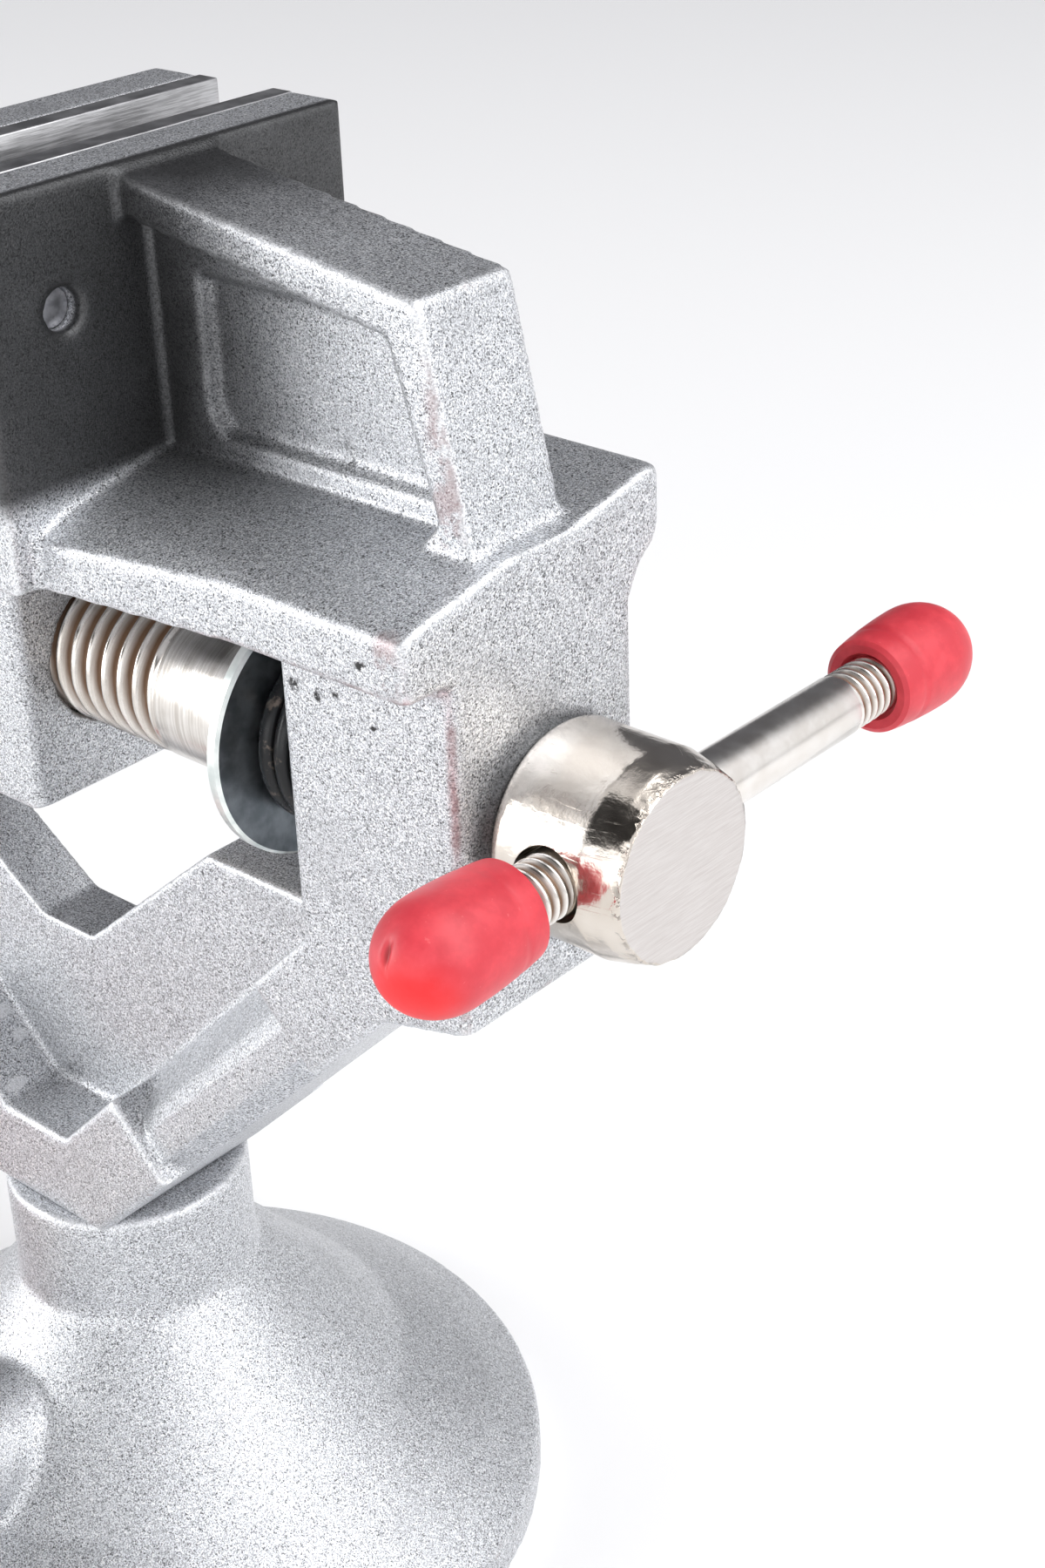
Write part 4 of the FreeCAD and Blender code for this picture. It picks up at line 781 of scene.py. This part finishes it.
def vinyl_finish(tips, nicks):
    """Dipped vinyl: faintly mottled, with a soft sheen, clearer at its tips and dark in its nicks."""
    paint, shader, at = new_finish("red_vinyl", 0.0, 0.35, Subsurface_Weight=0.12,
                                   Subsurface_Scale=1.2 * MM, Specular_IOR_Level=0.45)
    mottle = at.grain(380, 4.0, 0.6)
    speck = at.grain(2600, 2.0).ramp(0.70, 0.78)
    tone = mottle.ramp(0.35, 0.70).blend(*VINYL)
    tone = (speck * 0.25).blend(tone, VINYL_SPECK)
    for tip in tips:
        near = at.vector("DISTANCE", tip, "Value") + (mottle - 0.5) * (2.0 * MM)
        tone = ((1 - near.ramp(1.6 * MM, 4.2 * MM)) * 0.85).blend(tone, VINYL_TIP)
    for nick in nicks:
        away = at.vector("SUBTRACT", nick).vector("MULTIPLY", (2.4, 0.5, 1.0))
        cut = 1 - away.vector("LENGTH", (1, 1, 1), "Value").ramp(0.25 * MM, 0.85 * MM)
        tone = (cut * 0.8).blend(tone, VINYL_NICK)
    feed(shader, "Base Color", tone)
    feed(shader, "Roughness", mottle * 0.16 + 0.34)
    bump(shader, at.grain(1300, 3.0) * 0.7 + mottle * 0.6, 0.03 * MM)
    return paint


CAP_MOUTH = 0.88
CAP_DOME = 0.42
CAP_WITNESS = 2.2 * MM
WITNESS_DEPTH = 0.11 * MM
WITNESS_WIDTH = 0.16 * MM
NICK_DEPTH = 0.42 * MM
NICK_REACH = 1.6 * MM
NICK_WIDTH = 0.28
NICK_HEIGHT = 0.75
NICK = Vector((-0.5, 0.7, 1.6)) * MM
TIP = Vector((1.2, 0.6, -1.4)) * MM
near_tip = Vector((BAR_X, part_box("near_cap")[0][1], SCREW_Z))
far_tip = Vector((BAR_X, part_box("far_cap")[1][1], SCREW_Z))
red_vinyl = vinyl_finish([near_tip + TIP, far_tip], [near_tip + NICK])
for node, way in (("near_cap", -1), ("far_cap", 1)):
    cap_low, cap_high = (Vector(corner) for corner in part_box(node))
    radius = (cap_high.z - cap_low.z) / 2
    length = cap_high.y - cap_low.y
    mouth = Vector((BAR_X, cap_high.y if way < 0 else cap_low.y, SCREW_Z))
    dome_start = length * (1 - CAP_DOME)
    cap_outline = [(0.7 * MM, BAR_THREAD_RADIUS), (0.05 * MM, BAR_THREAD_RADIUS + 0.35 * MM),
                   (0, CAP_MOUTH * radius - 0.3 * MM)]
    for place in steps(0.22 * MM, dome_start, 0.3 * MM):
        swell = CAP_MOUTH + (1 - CAP_MOUTH) * math.sin(math.pi / 2 * place / dome_start) ** 0.8
        witness = WITNESS_DEPTH * math.exp(-((place - CAP_WITNESS) / WITNESS_WIDTH) ** 2)
        cap_outline.append((place, swell * radius - witness))
    for angle in range(6, 86, 6):
        lean = math.radians(angle)
        cap_outline.append((dome_start + (length - dome_start) * math.sin(lean),
                            radius * math.cos(lean) ** 0.92))
    cap_outline.append((length, 0.25 * MM))
    cap = turned(node + "_dipped", mouth, "Y", [(way * place, size) for place, size in cap_outline], 96)
    nick = near_tip + NICK if way < 0 else far_tip + Vector((NICK.x, -NICK.y, NICK.z))
    for vertex in cap.data.vertices:
        offset = vertex.co - nick
        across = math.hypot(offset.x / NICK_WIDTH, offset.z / NICK_HEIGHT)
        if abs(offset.y) < NICK_REACH:
            vertex.co.y -= way * NICK_DEPTH * math.exp(-(across / MM) ** 2)
    fit_out(cap, "handle", [node], red_vinyl)


# Sliding jaw with its nut block: two castings from the same metal, bolted together through the
# slot between the rails by two cap screws.
sliding_cast = cast_copy("sliding_jaw", "sliding_jaw_skin", 0.35 * MM, 4, 80000)
fit_out(sliding_cast, "jaw", ["sliding_jaw"], plain_cast)
nut_cast = cast_copy("nut_block", "nut_block_skin", 0.35 * MM, 4, 60000)
fit_out(nut_cast, "jaw", ["nut_block"], plain_cast)
slide_piece = edged_copy("slide_screws", "slide_screw_pair", 0.25 * MM)
fit_out(slide_piece, "jaw", ["slide_screws"], fastener)


# Lever: a nickel-plated steel arm on the cam shaft, held by a cross pin, with a soft vinyl grip.
arm = edged_copy("lever_arm", "lever_arm_stamped", 0.6 * MM, 3)
fit_out(arm, "lever", ["lever_arm"], nickel)
pin_piece = edged_copy("hub_pin", "hub_pin_rolled", 0.2 * MM)
fit_out(pin_piece, "lever", ["hub_pin"], turned_steel)
grip = cast_copy("lever_grip", "lever_grip_dipped", 0.3 * MM, 10, 40000)
fit_out(grip, "lever", ["lever_grip"], red_vinyl)
